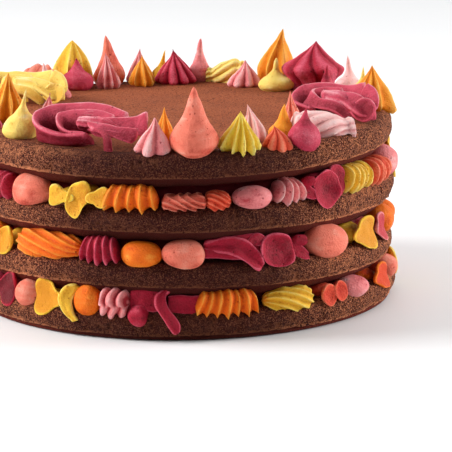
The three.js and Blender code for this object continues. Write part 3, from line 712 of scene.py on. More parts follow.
def peak_skin(profile, half_width, height, ridges, lean, round_lobes, seed):
    """Star or kiss: a profile radius by height turned round its axis. A star's radius is cut by
    valleys whose depth fades towards the tip, and its ridges twist and bunch a little; the tip
    leans by lean * rise ** 2.2 and sways off at its very end. A kiss carries faint rings."""
    random = np.random.default_rng(seed)
    columns = max(ridges * RIDGE_COLUMNS, PEAK_COLUMNS)
    rise = (np.linspace(0, 1, PEAK_ROWS) ** 1.2)[:, None]
    angle = np.linspace(0, 2 * np.pi, columns, endpoint=False)[None]
    radius = half_width * curve(PROFILES[profile], rise) + 0 * angle
    crest = np.full(radius.shape, 0.5)
    if ridges > 0:
        twist = random.uniform(-0.35, 0.35) * rise + random.uniform(0, 0.3)
        twist = twist + (0.9 * rise if profile == "skirt" else 0)
        bunch = 0.16 * np.sin(angle + random.uniform(0, 6)) + 0.1 * np.sin(2 * angle + seed)
        phase = (angle + twist + bunch) * ridges / (2 * np.pi)
        lobe = ridge_wave(phase, round_lobes)
        size = random.uniform(0.86, 1.05, ridges)[np.round(phase).astype(int) % ridges]
        depth = (0.34 if round_lobes else 0.4) * (1 - 0.55 * rise ** 1.5)
        foot = 1 + 0.07 * (lobe - 0.5) * np.clip(1 - rise * 5, 0, 1)
        radius = radius * (1 - depth * (1 - lobe)) * (1 + (size - 1) * lobe * (1 - rise)) * foot
        # Painted shade in the valleys, painted highlight on the ridges.
        crest = 0.26 + 0.64 * lobe ** (2.5 if round_lobes else 1.0)
    sway, tilt = random.uniform(-0.7, 0.7), random.uniform(-0.9, 0.9)
    x = radius * np.cos(angle - np.pi / 2) + lean * rise ** 2.2 + sway * rise ** 5
    y = radius * np.sin(angle - np.pi / 2) + tilt * rise ** 3
    z = height * rise - PEAK_BEDDED * (1 - rise) + 0 * angle
    skin = Skin.lofted(np.stack((x, y, z), axis=-1), crest)
    skin.roughened(5.5, 0.45, seed).roughened(2.0, 0.12, seed + 1)
    if ridges <= 0:
        rings = lattice_noise(skin.points * (0.25, 0.25, 1.6) + 60.0, 2.2, seed + 3)
        skin.points[:, :2] *= (1 + 0.012 * rings)[:, None]
        # Random tone for a kiss, with a painted highlight on its faint rings.
        skin.crest = 0.5 + 0.3 * lattice_noise(skin.points + 90.0, 4.0, seed + 2) + 0.2 * rings
    return skin


SAG = 3.4                      # the most that a topping sags over the shoulder
SAG_START = 93.0               # distances from the axis where that starts and ends
SAG_END = 105.0


def shoulder_drop(distance):
    """How far soft icing sags at a distance from the axis: none on the flat, then ever more."""
    return SAG * ease((distance - SAG_START) / (SAG_END - SAG_START))


def place_on_top(skin, bearing, distance, height, turn):
    """Sets a piece drawn with x along the rim and y towards the axis down at its bearing; its
    lower part slumps a little over the shoulder."""
    spin = np.radians(bearing + 90 + turn)
    x, y, z = skin.points.T
    world_x = x * np.cos(spin) - y * np.sin(spin) + distance * np.cos(np.radians(bearing))
    world_y = x * np.sin(spin) + y * np.cos(spin) + distance * np.sin(np.radians(bearing))
    share = np.clip(1 - z / height, 0, 1)
    drop = shoulder_drop(np.hypot(world_x, world_y)) * share
    skin.points = settle(np.stack((world_x, world_y, z + TOP - drop), axis=-1))
    return skin.facing_out()


def through(knots, share):
    """Smooth curve through evenly spaced knots."""
    knots = np.array(knots, float)
    places = np.linspace(0, 1, len(knots))
    return np.stack([curve(np.stack((places, values), axis=1), share) for values in knots.T],
                    axis=-1)


LEAF_ROWS = 80
LEAF_COLUMNS = 36
END_SHARE = 0.07               # share of a leaf's length over which each end rounds off
END_LEAST = 0.0004             # keeps the very end from closing to a line


def leaf_skin(lower, upper, bow, thick, tip, rows=LEAF_ROWS, columns=LEAF_COLUMNS):
    """Thick sheet between a lower and an upper edge curve. Across, it is the parabola through
    the two edges and a middle curve that is set off by bow along the sheet's normal and by tip
    along the ends; its thickness runs between the two values and rounds off at every edge."""
    share = np.linspace(0, 1, rows)
    low, high = through(lower, share), through(upper, share)
    middle = (low + high) / 2
    along = unit(np.gradient(middle, axis=0))
    end = (2 * share - 1)[:, None]
    middle = middle + bow * unit(np.cross(along, high - low)) + tip * along * end ** 7
    half = columns // 2
    t = (-np.cos(np.pi * np.arange(half + 1) / half))[None, :, None]
    sheet = (low[:, None] * t * (t - 1) / 2 + middle[:, None] * (1 - t * t)
             + high[:, None] * t * (t + 1) / 2)
    normal = unit(np.cross(np.gradient(sheet, axis=0), np.gradient(sheet, axis=1)))
    past = np.clip((np.abs(end) - 1 + END_SHARE) / END_SHARE, 0, 1)
    rounding = np.sqrt(1 + END_LEAST - past ** 2)[..., None]
    body = (thick[0] + (thick[1] - thick[0]) * share)[:, None, None]
    shift = normal * body / 2 * rounding * np.sqrt(1 - t ** 4)
    front, back = sheet + shift, sheet - shift
    grid = np.concatenate((front, back[:, -2:0:-1]), axis=1)
    t, end = t[..., 0], np.abs(end)
    # Painted highlight on the thin edges and ends, painted shade down the middle.
    rim = np.maximum(ease((np.abs(t) - 0.86) / 0.14), ease((end - 0.94) / 0.06))
    crest = 0.44 + 0.42 * rim - 0.1 * (1 - t * t)
    crest = np.concatenate((crest, crest[:, -2:0:-1]), axis=1)
    return Skin.lofted(grid, crest, flat_ends=True)


DISH_THICK = 2.4
DISH_COLUMNS = 72
DISH_ROWS = 17                 # rows from the middle to the rim, on each face


def dish_skin(centre, right, up, out, radii, bow, crease=0.0):
    """Round petal. The radii are its reach in evenly spaced directions, from right by up and left
    to down, joined by a smooth closed curve, in units of the two vectors right and up. The sheet
    dips by bow in its middle, waves a little along its rim and rounds off there; a crease runs
    from its middle to the right."""
    count = len(radii)
    angle = np.linspace(0, 2 * np.pi, DISH_COLUMNS, endpoint=False)
    places = np.arange(-2, count + 3)
    knots = np.stack((places * 2 * np.pi / count, np.array(radii)[places % count]), axis=1)
    reach = curve(knots, angle)
    half = np.sin(np.linspace(0.05, np.pi / 2, DISH_ROWS))
    share = np.concatenate((half, half[-2::-1]))[:, None]
    one_face = np.ones(DISH_ROWS - 1)
    face = np.concatenate((one_face, (0.0,), -one_face))[:, None]
    body = face * DISH_THICK / 2 * np.sqrt(1 - np.minimum(share, 1) ** 6)
    wave = 0.3 * bow * share ** 3 * np.cos(3 * angle + 10 * radii[0])
    fold = share ** 2 * np.exp(-(np.sin(angle / 2) / 0.26) ** 2)
    depth = body - bow * (1 - share ** 2) + wave - crease * fold
    grid = (np.array(centre, float) + (share * reach * np.cos(angle))[..., None] * right
            + (share * reach * np.sin(angle))[..., None] * up + depth[..., None] * out)
    # Painted highlight round the rim, painted shade in the middle and along the crease.
    crest = 0.36 + 0.5 * ease((share - 0.82) / 0.18) - 0.12 * (1 - share ** 2) - 0.16 * fold
    return Skin.lofted(grid, crest)


ROPE_ROWS = 60
ROPE_COLUMNS = 56
ROPE_GROOVE = 0.24             # depth of a rope's grooves, as a share of its radius


def rope_skin(path, radii, ridges, twist, flat):
    """Tube along a smooth path whose section is a circle cut by ridges that twist along it,
    scaled by flat upright; radii are (place, radius) knots."""
    share = np.linspace(0, 1, ROPE_ROWS)
    line = through(path, share)
    along = unit(np.gradient(line, axis=0))
    side = unit(np.cross(along, (0, 0, 1)))
    up = np.cross(side, along)
    angle = np.linspace(0, 2 * np.pi, ROPE_COLUMNS, endpoint=False)[None]
    lobe = ridge_wave(ridges * (angle + twist * share[:, None]) / (2 * np.pi), False)
    radius = curve(radii, share)[:, None] * (1 - ROPE_GROOVE + ROPE_GROOVE * lobe)
    grid = (line[:, None] + side[:, None] * (radius * np.cos(angle))[..., None]
            + up[:, None] * (flat * radius * np.sin(angle))[..., None])
    # Painted shade in the grooves, painted highlight on the ridges.
    return Skin.lofted(grid, 0.34 + 0.36 * lobe)


def mound_skin(half_length, half_depth, height, shift):
    """Low rounded bed under a ruffle: the upper half of an ellipsoid, set off along x, coloured
    almost wholly in the painted shade tone.
    """
    ring = np.linspace(0, 2 * np.pi, 80, endpoint=False)
    turn = np.linspace(0, np.pi / 2 - 0.02, 18)[:, None]
    grid = np.stack((shift + half_length * np.cos(turn) * np.cos(ring),
                     half_depth * np.cos(turn) * np.sin(ring),
                     height * np.sin(turn) - BEDDED + 0 * ring), axis=-1)
    # crest value 0.05: painted shade almost throughout
    return Skin.lofted(grid, np.full(grid.shape[:2], 0.05))


# Folds of the two kinds of ruffle, drawn with x to the right, y away from the eye and z up, in
# mm: lower edge, upper edge, bow, thickness at the start and the end, and how far the ends round.
# The ropes are a path, its radii, the number of ridges, their twist and how flat the rope is.
ROSETTE = (
    (((-2, -5, 0.6), (-10, -6.5, 0), (-19, -5.5, 0), (-25, -1, 0), (-24, 5, 0.5),
      (-14, 9.5, 1.5), (0, 11, 3), (12, 10, 4)),
     ((2, -9, 6.4), (-10, -10, 5.4), (-21, -8.5, 7.5), (-28, -2, 10.5), (-26.5, 7, 13.6),
      (-15, 12.5, 15.2), (0, 14, 15.6), (13, 11, 13.4)), 1.2, (3.0, 2.2), 2.0),
    (((4, -4, 1), (-4, -5, 1), (-11, -3.5, 1.5), (-14, 1, 2), (-12, 4.5, 3), (-4, 7, 4),
      (4, 7, 5), (9, 5, 5)),
     ((-1, -7, 6.4), (-7.4, -7, 6.4), (-13.1, -4.5, 7.6), (-17.3, 0, 10.4), (-18, 5, 12.2),
      (-11, 8.6, 13.1), (-1.2, 9.6, 13.7), (8, 7.6, 12.6)), 1.0, (2.6, 2.0), 1.5),
    (((-1, -1, 6.5), (8, 0, 6.3), (17, 1.5, 5.8), (26, 2, 5.6)),
     ((0, 3, 10.2), (9, 5, 12.2), (17, 6, 12.8), (24.5, 6.5, 15.2)), -1.0, (2.4, 1.6), 0.6),
    (((4.9, -6, 8.6), (12, -6.6, 6.7), (17.7, -6.2, 4.9), (22.6, -4.6, 3.0)),
     ((0, -2, 10.2), (7.6, -2.5, 10.4), (14.7, -2, 9.7), (23.5, 0, 9.2)), -0.9, (2.4, 1.7), 1.2),
    (((5.2, -6, 8.2), (11.2, -9, 5.8), (12.6, -10.6, 0.4)),
     ((9, -6, 7.7), (14.8, -9, 5.3), (16.4, -9.8, 0.2)), 0.5, (2.2, 1.9), 0.5),
)
STRAND = ((0, 0.2), (0.1, 0.9), (0.5, 1.2), (0.9, 0.9), (1, 0.2))
ROSETTE_ROPES = (
    (((-7, 0.5, 8.4), (-2, 1.4, 9.0), (5, 2.6, 9.2), (13.5, 1.8, 8.6)),
     ((0, 0.2), (0.06, 2.4), (0.2, 3.5), (0.5, 3.4), (0.85, 2.2), (1, 0.3)), 7, 1.0, 0.9),
    (((1, -3, 7.2), (8, -3.4, 7.4), (15, -2.4, 6.4), (21, -1.0, 5.2)),
     ((0, 0.3), (0.15, 2.2), (0.6, 2.6), (0.9, 1.6), (1, 0.3)), 5, -0.8, 1.0),
    (((-9, 6.6, 11.4), (-2, 8.4, 12.0), (6, 7.2, 11.2), (12.5, 4.2, 9.4)), STRAND, 4, 0.5, 1.0),
    (((-8, 5.2, 9.8), (-1, 6.8, 10.4), (6, 5.6, 9.6), (13, 3.4, 8.4)), STRAND, 4, -0.5, 1.0),
    (((-7, 4.0, 8.4), (0, 5.2, 9.0), (7, 4.2, 8.4), (14, 2.4, 7.4)), STRAND, 4, 0.7, 1.0),
)
SWIRL = (
    (((-8, -6.5, 0), (-16, -4, 0), (-20.5, 1, 0), (-18, 6, 0.5), (-10, 9.5, 1.5),
      (0, 10.5, 2.5), (9, 8.5, 3.5)),
     ((-10, -9, 5.5), (-21, -5, 7), (-25, 2, 9), (-23, 8, 12.2), (-13, 12.2, 13.2),
      (-2, 12.8, 13), (8.5, 10.2, 15.4)), 1.2, (3.0, 2.2), 1.5),
    (((9, -8.5, 0.3), (1.6, -8.4, 4.6), (-6, -7.6, 5.2), (-17, -3.4, 4.2), (-16, 2, 4),
      (-9, 5.6, 6), (-1, 6, 7)),
     ((10.4, -6, 3.7), (2.9, -5, 8.3), (-5.6, -4, 9.2), (-12.8, 0, 10.7), (-14.2, 4, 12),
      (-9.8, 7.6, 12.5), (-2.3, 8, 12.3)), 0.8, (2.6, 2.0), 1.5),
    (((-5.3, -2.4, 8.4), (3.9, -4.4, 8), (10.5, -7, 5.6), (15.4, -8.0, 3.6), (18.4, -6.8, 3.4)),
     ((-9.9, 4, 11.5), (0.1, 4, 11.7), (9.3, 2, 11.2), (16.6, -1, 8.5), (19.6, -3.6, 6.4)), -1.7,
     (4.6, 2.2), 2.6),
    (((8, 7, 6), (12, 6, 6), (15.5, 3, 4), (16.4, 0.4, 3.2), (16, -2.2, 3)),
     ((11, 8, 15.6), (16, 6, 13.9), (19.4, 3, 10.3), (20.6, 0, 7.4), (19.6, -2.6, 5.6)), 1.1,
     (2.4, 1.8), 0.6),
)
SWIRL_ROPES = (
    (((-9.5, 1.6, 8.6), (-4, 1.4, 9.2), (3, 0.2, 8.6), (10, -2.2, 6.6)),
     ((0, 0.2), (0.08, 2.6), (0.3, 3.6), (0.7, 3.2), (1, 0.4)), 5, 0.6, 0.85),
)
SWIRL_LOBE = ((14.6, -4.6, 6.0), (1, -0.1, 0), (0, 0.55, 0.84), (0.1, -0.84, 0.55),
              (7.0, 6.2, 5.2, 5.0, 6.0, 5.4, 5.6, 6.8), 1.8)
BED = (8.5, 6.0, 6.0, -10.0)   # half length, half depth, height and shift of a ruffle's bed
HEART = (-3.5, 1.5, 7.5)       # middle of the painted highlight in a ruffle's heart, and the height it starts at
HEART_SIZE = (5.0, 3.5)
FOLDS_LENGTH = 27.0            # half length that the ruffles are drawn at


def ruffle_skin(folds, ropes, lobes, half_length, seed):
    """Ruffle: leaves wound round a hollow, ropes of icing in its middle, round lobes at its end,
    and a low bed. It carries painted shade low down and a painted highlight in its heart, where
    the ropes end."""
    skins = [leaf_skin(lower, upper, bow, thick, tip) for lower, upper, bow, thick, tip in folds]
    skins += [rope_skin(*rope) for rope in ropes]
    for centre, right, up, out, radii, bow in lobes:
        skins.append(dish_skin(centre, *np.array((right, up, out)), radii, bow))
    skins.append(mound_skin(*BED))
    skin = Skin.joined([each.roughened(4.5, 0.4, seed + k) for k, each in enumerate(skins)])
    x, y, z = skin.points.T
    off_x, off_y = (x - HEART[0]) / HEART_SIZE[0], (y - HEART[1]) / HEART_SIZE[1]
    heart_highlight = np.exp(-off_x ** 2 - off_y ** 2) * (z > HEART[2])
    # Painted shade low down, painted highlight in the heart.
    skin.crest = skin.crest - 0.36 + 0.42 * ease((z - 2) / 11) + 0.4 * heart_highlight
    skin.points *= half_length / FOLDS_LENGTH
    return skin


SHELL_ROWS = 70
SHELL_COLUMNS = 120


def shell_skin(half_length, half_depth, height, seed):
    """Shell: half-round body along x whose section size follows a curve, ridged aslant, plump
    and scalloped in front, drawn out to a small frill at its right-hand end."""
    place = np.linspace(-1, 1, SHELL_ROWS)[:, None]
    size = curve(((-1, 0.1), (-0.93, 0.6), (-0.6, 0.98), (-0.1, 1), (0.4, 0.84), (0.7, 0.62),
                  (0.86, 0.66), (0.96, 0.5), (1, 0.1)), place)
    angle = np.linspace(0, 2 * np.pi, SHELL_COLUMNS, endpoint=False)[None]
    lobe = ridge_wave((4.5 * angle + 4.2 * place) / np.pi, True)
    lobe = 1 - (1 - lobe) * (1 - 0.6 * np.clip(np.sin(angle), 0, 1) ** 2)
    radius = size * (1 - 0.3 * (1 - lobe))
    y = half_depth * radius * np.cos(angle)
    z = height * (0.26 + 0.74 * radius * np.sin(angle)) * (0.55 + 0.45 * size)
    grid = np.stack((half_length * place + 0 * angle, y, np.maximum(z, -BEDDED)), axis=-1)
    # Painted shade between the ridges, painted highlight on them.
    return Skin.lofted(grid, 0.3 + 0.5 * lobe ** 2 + 0 * place).roughened(4.0, 0.4, seed)


# ------------------------------------------------------------------ rim pieces

NOSE = 8.0                     # from a rim piece's middle to its outermost point, radially
RIM_MIDDLE = 6.2               # how far inside the widest radius a rim piece's middle lies
HALF_HEIGHT = 7.3              # of a rim piece, a little more than half the gap
REACH = 1.7                    # how far any rim piece stands out past the widest radius
BELLY = 0.6                    # how far every rim piece's belly hangs
ENDS = 0.998                   # stops short of the ends, where a section would be a point


def place_on_rim(skin, bearing, middle):
    """Wraps local points (x along the rim, y outwards from the widest radius, z from the middle
    of the gap) round the cake, eased back where they would pass its reach, and settles them."""
    x, y, z = skin.points.T
    angle = np.radians(bearing) + x / RADIUS
    radius = RADIUS + REACH - np.logaddexp(0, (REACH - y) * 3) / 3
    skin.points = settle(np.stack(
        (radius * np.cos(angle), radius * np.sin(angle), middle + z), axis=-1))
    return skin.facing_out()


def rim_body(half_width, hang, size, columns=60, rows=42, even=False):
    """Plump rim piece lofted along x: at each place the section is an ellipse whose scale and
    crest value are size(place, angle), and its belly hangs. The sections stand closer together
    towards the ends, or even."""
    place = np.linspace(-1, 1, rows)[:, None]
    place = ENDS * (place if even else np.sin(np.pi / 2 * place))
    angle = np.linspace(0, 2 * np.pi, columns, endpoint=False)[None]
    scale, crest = size(place, angle)
    y = -RIM_MIDDLE + NOSE * scale * np.cos(angle)
    z = HALF_HEIGHT * scale * np.sin(angle)
    z = z - (BELLY + hang) * np.clip(-np.sin(angle), 0, 1) * scale * ease((y + 5) / 5)
    grid = np.stack((half_width * place + 0 * angle, y, z), axis=-1)
    return Skin.lofted(grid, crest)


def blunt_ends(place):
    """1 along a rim piece, falling steeply to 0 at its two ends."""
    return np.clip((1 - np.abs(place)) * 7, 0, 1) ** 0.5


def ball_skin(half_width, hang, _, seed):
    """Ball: section scale (1 - |place| ** 2.3) ** 0.5, fuller towards one end."""
    random = np.random.default_rng(seed)
    fuller = random.uniform(-0.16, 0.16)

    def size(place, angle):
        scale = np.sqrt(np.clip(1 - np.abs(place) ** 2.3, 0, 1)) * (1 + fuller * place)
        return scale * 0.97 + 0 * angle, 0.5 + 0 * scale * angle
    skin = rim_body(half_width * 1.03, hang, size).roughened(7.0, 0.6, seed)
    skin.crest = (0.52 + 0.3 * lattice_noise(skin.points + 90.0, 5.0, seed + 2)
                  + 0.15 * lattice_noise(skin.points * (0.3, 1, 1.4) + 50.0, 1.8, seed + 3))
    return skin


def star_rim_skin(half_width, hang, ridges, seed):
    """Thin upright ridges side by side, fanning out downwards, with hollow valleys between
    them; each ridge starts from a smooth top and ends in its own foot, the middle ones lowest.
    The section scale is a ridge's size by a fall towards the ends by its share of the wave."""
    random = np.random.default_rng(seed)
    sizes = random.uniform(0.88, 1.04, ridges + 1)
    wave = random.uniform(0.05, 0.14)

    def size(place, angle):
        phase = (place + 1) / 2 * ridges + wave * np.sin(2 * angle + seed)
        lobe = ridge_wave(phase + 0.5, False)
        number = np.clip(np.floor(phase), 0, ridges).astype(int)
        upright = np.sin(angle)
        below, above = np.clip(-upright, 0, 1), np.clip(upright, 0, 1)
        scale = (sizes[number] * (1 - (0.12 + 0.16 * below) * place ** 2)
                 * (0.68 + 0.24 * above + (0.32 + 0.05 * below - 0.24 * above) * lobe)
                 * blunt_ends(place))
        # painted shade in the valleys, painted highlight on the ridges
        return scale, 0.24 + 0.7 * lobe + 0 * scale
    skin = rim_body(half_width, hang, size, rows=ridges * 15, even=True)
    spread = 0.16 + 0.08 * max(10 - half_width, 0)     # narrow stars fan out more
    skin.points[:, 0] *= 1 - spread * np.clip(skin.points[:, 2] / HALF_HEIGHT, -1, 1)
    return skin.roughened(4.0, 0.35, seed)


def shell_rim_skin(half_width, hang, tail, seed):
    """Pulled shell lying along the rim: thin ridges sweep down across it, plump at one end and
    drawn out to a tail at the other."""
    def size(place, angle):
        lobe = ridge_wave(5 * angle / np.pi + 1.6 * place + 0.3 * place ** 2, False)
        taper = curve(((-1, 0.1), (-0.9, 0.6), (-0.66, 0.9), (-0.2, 1.0), (0.4, 0.9),
                       (0.76, 0.68), (0.92, 0.44), (1, 0.1)), place * tail)
        # painted shade in the grooves, painted highlight on the ridges
        return taper * (0.78 + 0.22 * lobe), 0.28 + 0.6 * lobe + 0 * place
    return rim_body(half_width, hang, size, columns=104, rows=48).roughened(4.0, 0.3, seed)


def flap_skin(half_width, hang, _, seed):
    """Flattened strip whose flaps lie aslant over each other: the section scale is a saw wave
    that climbs slowly over each flap and drops at its thin edge."""
    def size(place, angle):
        phase = (1.5 * np.sin(angle) + 1.8 * place + 0.3 * np.sin(3 * place)) % 1.0
        flap = np.clip(phase / 0.9, 0, 1) ** 1.4 * np.clip((1 - phase) / 0.1, 0, 1)
        scale = (1 - 0.12 * place ** 2) * (0.72 + 0.28 * flap)
        # painted highlight on each flap's thin edge, painted shade on the rest
        return scale * blunt_ends(place), 0.25 + 0.7 * flap ** 6
    skin = rim_body(half_width, hang, size, columns=84, rows=80, even=True)
    skin.points[:, 2] *= 0.86
    return skin.roughened(3.6, 0.4, seed)


def frill_skin(half_width, hang, ridges, seed):
    """Upright folds side by side, a wave of round lobes that wavers from left to right as it
    comes down."""
    def size(place, angle):
        phase = (place + 1) / 2 * ridges + 0.3 * np.sin(2.6 * angle + 0.6)
        lobe = ridge_wave(phase + 0.5, True)
        scale = (1 - 0.2 * place ** 2) * (0.66 + 0.34 * lobe)
        # painted shade between the folds, painted highlight on them
        return scale * blunt_ends(place), -0.05 + 0.8 * lobe ** 1.8
    return rim_body(half_width, hang, size, rows=56, even=True).roughened(3.6, 0.5, seed)


# Petals, drawn with x from -1 to 1 over the piece's width, y outwards and z up in mm:
# lower edge, upper edge, bow, thicknesses and end rounding, as for the ruffles.
PETALS = {
    "crescent": (
        (((0.5, -3.6, 6.6), (-0.5, -1.0, 5.8), (-1.0, 0.8, 2.0), (-0.8, 1.3, -2.6),
          (-0.2, 1.1, -6.2), (0.5, 0.6, -9.0)),
         ((1.0, -4.4, 5.0), (0.5, -2.4, 3.2), (0.3, -0.6, 0.6), (0.5, 0.5, -3.4),
          (0.86, 0.7, -6.2), (1.1, 0.4, -8.0)), 0.9, (2.8, 2.1), 0.05),
    ),
    "curl": (
        (((-1, -5.6, 0.6), (-0.55, -4.4, 0.2), (-0.1, -2.0, -0.6), (0.3, 0.2, -3.4),
          (0.6, 1.1, -6.4), (0.78, 1.1, -7.0)),
         ((-1, -5.8, 4.0), (-0.5, -5.2, 5.8), (0.0, -4.2, 6.6), (0.5, -2.4, 4.6),
          (0.84, -0.6, 0.2), (0.96, 0.6, -4.6)), 2.4, (3.4, 2.0), 0.05),
        (((-1, -5.8, -2.4), (-0.3, -5.0, -3.0), (0.5, -4.0, -3.6)),
         ((-1, -6.0, 1.6), (-0.3, -5.6, 1.6), (0.5, -4.4, 0.4)), 0.8, (3.4, 2.6), 0.05),
        (((0.1, -4.6, 3.2), (0.5, -3.6, 2.6), (1.0, -2.4, 2.4)),
         ((0.0, -5.6, 6.6), (0.5, -5.0, 7.4), (1.0, -4.0, 7.4)), 0.8, (2.4, 2.0), 0.05),
    ),
    "tuft": (
        (((-0.9, -3.0, -2.0), (-0.3, -1.4, -3.6), (0.3, -0.2, -4.6), (0.9, 0.2, -4.4)),
         ((-0.8, -4.4, 3.6), (-0.2, -3.6, 3.6), (0.4, -2.0, 1.4), (1.0, -0.8, -1.6)),
         0.9, (2.0, 1.4), 0.05),
        (((-0.2, -4.6, 0.6), (0.2, -3.4, 1.6), (0.6, -2.2, 2.0), (0.96, -1.6, 3.4)),
         ((-0.4, -5.4, 5.0), (0.0, -4.6, 6.4), (0.44, -3.6, 6.6), (0.86, -2.6, 6.4)),
         -0.8, (2.0, 1.4), 0.05),
    ),
    "drip": (
        (((-0.3, -4.4, 6.8), (-1.0, -1.4, 4.4), (-1.06, 0.4, 0.6), (-0.6, 1.1, -3.6),
          (-0.04, 1.3, -7.6), (0.56, 1.0, -11.6)),
         ((0.3, -4.8, 6.4), (-0.1, -2.6, 3.8), (0.06, -0.8, 0.0), (0.7, 0.6, -3.8),
          (1.12, 1.0, -7.4), (1.06, 0.7, -10.8)), 1.2, (2.8, 1.8), 0.2),
    ),
    "strip": (
        (((-1.5, -4.4, -4.0), (-0.5, -3.2, -3.2), (0.4, -3.6, -4.0), (1.3, -4.6, -3.4)),
         ((-1.5, -5.6, 5.0), (-0.5, -5.0, 5.8), (0.4, -5.2, 5.2), (1.3, -5.8, 5.4)),
         1.0, (3.2, 2.4), 0.06),
    ),
}

# Round petals: middle (share of the half width, y and z), reach in eight directions from right
# by up and left to down (1 is the half width sideways and the half height upright), bow and
# crease.
DISHES = {
    "fan": (((0.02, -1.4, 0.2), (1.08, 1.28, 0.94, 0.78, 1.1, 0.78, 0.96, 1.3), 1.8, 1.3),),
    "leaf": (((0.0, -1.6, 2.0), (0.96, 1.1, 0.74, 0.66, 1.2, 0.6, 0.66, 0.94), 1.1, 1.2),),
    "mitten": (((-0.1, -1.0, 0.8), (0.9, 1.2, 0.9, 0.92, 0.86, 1.12, 1.26, 0.8), 1.6, 1.4),),
    "lobe": (((0.2, -1.0, 0.2), (0.92, 0.98, 0.94, 0.96, 0.98, 0.98, 0.98, 0.96), 3.4, 0.0),
             ((-0.7, -3.2, 2.6), (0.4, 0.6, 0.66, 0.7, 0.7, 0.5, 0.6, 0.5), 0.6, 0.0)),
    "spoon": (((-0.24, -0.8, -0.5), (0.7, 0.92, 1.06, 0.92, 0.7, 0.94, 1.16, 0.92), 3.0, 0.0),
              ((0.5, -3.2, 1.0), (0.5, 0.76, 0.98, 0.6, 0.3, 0.5, 0.86, 0.74), 1.0, 0.0)),
    "pair": (((-0.6, -1.2, 0.6), (0.6, 0.78, 0.8, 0.66, 0.6, 0.7, 0.86, 0.74), 1.8, 0.5),
             ((0.36, -1.1, 1.6), (0.64, 0.78, 0.8, 0.62, 0.56, 0.62, 0.82, 0.78), 1.8, 0.5)),
}
MORE_SHADE = {"fan": 0.26, "mitten": 0.14}     # how much more painted shade a form gets: its crest value is this much lower
DISH_LEAN = -1.5               # how far a round petal's top leans in
ROOT_SHAPE = (1, 0.8, 0.72)    # scale of the ball behind the round petals
ROOT_BACK = 7.2                # how far back it lies
ROOT_MORE_SHADE = 0.2              # how much more painted shade it gets: its crest value is this much lower
ROOT_SEED = 7
STRIP_SEED = 5
PETAL_ROWS = 46
PETAL_COLUMNS = 28


def petal_skin(form, half_width, hang, side, seed):
    """Petal: thick leaves and round dishes; side -1 draws it the other way round. A flat ball
    behind the dishes joins them to the filling."""
    skins = []
    for lower, upper, bow, thick, tip in PETALS.get(form, ()):
        low, high = (np.array(edge) * (half_width * side, 1, 1) - (0, 0, hang * share)
                     for edge, share in ((lower, 0.8), (upper, 0.2)))
        skins.append(leaf_skin(
            low, high, bow * side, thick, tip * half_width, PETAL_ROWS, PETAL_COLUMNS))
    for middle, radii, bow, crease in DISHES.get(form, ()):
        centre = np.array(middle) * (half_width * side, 1, 1) - (0, 0, hang * 0.5)
        skins.append(dish_skin(
            centre, np.array((half_width * side, 0, 0)),
            np.array((0, DISH_LEAN, HALF_HEIGHT + hang * 0.3)), np.array((0, 1, 0)),
            radii, bow, crease))
        skins[-1].crest = skins[-1].crest - MORE_SHADE.get(form, 0.0)
    if form in DISHES:
        root = ball_skin(half_width * 0.9, 0, 0, seed + ROOT_SEED)
        root.points = root.points * ROOT_SHAPE - (0, ROOT_BACK, 0)
        root.crest = root.crest - ROOT_MORE_SHADE
        skins.append(root)
    return Skin.joined([skin.roughened(4.5, 0.45, seed + k) for k, skin in enumerate(skins)])


def bud_skin(half_width, hang, _, seed):
    """Bud: a ball hanging low at the left and a short strip that runs back from it."""
    ball = ball_skin(half_width * 0.66, hang, 0, seed)
    ball.points = ball.points * (1, 1, 0.66) + (-half_width * 0.34, 1.0, -4.4)
    strip = petal_skin("strip", half_width * 0.75, 0, 1, seed + STRIP_SEED)
    strip.points += (half_width * 0.3, 0.0, 1.2)
    return Skin.joined((ball, strip))


RIM_MAKERS = {"ball": ball_skin, "star": star_rim_skin, "shell": shell_rim_skin,
              "flap": flap_skin, "frill": frill_skin, "bud": bud_skin}


def rim_skin(kind, half_width, hang, style, seed):
    """Rim piece of any kind. Below 0, hang is how far it is pressed down from above."""
    sag = max(hang, 0)
    if kind in RIM_MAKERS:
        skin = RIM_MAKERS[kind](half_width, sag, style, seed)
    else:
        skin = petal_skin(kind, half_width, sag, style, seed)
    sink = min(hang, 0)
    skin.points[:, 2] = skin.points[:, 2] * (1 + sink / HALF_HEIGHT) + sink
    return skin


def arc_of(half_width):
    """Degrees round the rim that a piece takes up."""
    return np.degrees(2 * half_width / RADIUS)


LEAST_ROOM = 8                 # degrees; a smaller rest of the rim takes no further piece
FIRST_AGAIN = 3                # where the near side's order is taken up again at the far side
KIND_STEP = 4
COLOUR_STEP = 7


def full_rim(front):
    """The far side repeats the near side's kinds and colours, each in another order, spread
    evenly over what is left of the circle."""
    start = front[-1][2] + arc_of(front[-1][3]) / 2
    room = front[0][2] + 360 - arc_of(front[0][3]) / 2 - start
    back = []
    used = 0.0
    while used < room - LEAST_ROOM:
        like = front[(len(back) * KIND_STEP + FIRST_AGAIN) % len(front)]
        kind, _, _, half_width, hang, style = like
        colour = front[(len(back) * COLOUR_STEP + FIRST_AGAIN) % len(front)][1]
        back.append((kind, colour, half_width, hang, style))
        used += arc_of(half_width)
    spread = room / used
    bearing = start
    pieces = list(front)
    for kind, colour, half_width, hang, style in back:
        width = arc_of(half_width) * spread
        pieces.append((kind, colour, bearing + width / 2, half_width * spread, hang, style))
        bearing += width
    return pieces


CORE_RADIUS = 84.0
CORE_BULGE = 4.0
CORE_OVERLAP = 0.6             # how much thicker it is than its gap
CORE_COLUMNS = 400
CORE_ROWS = 9


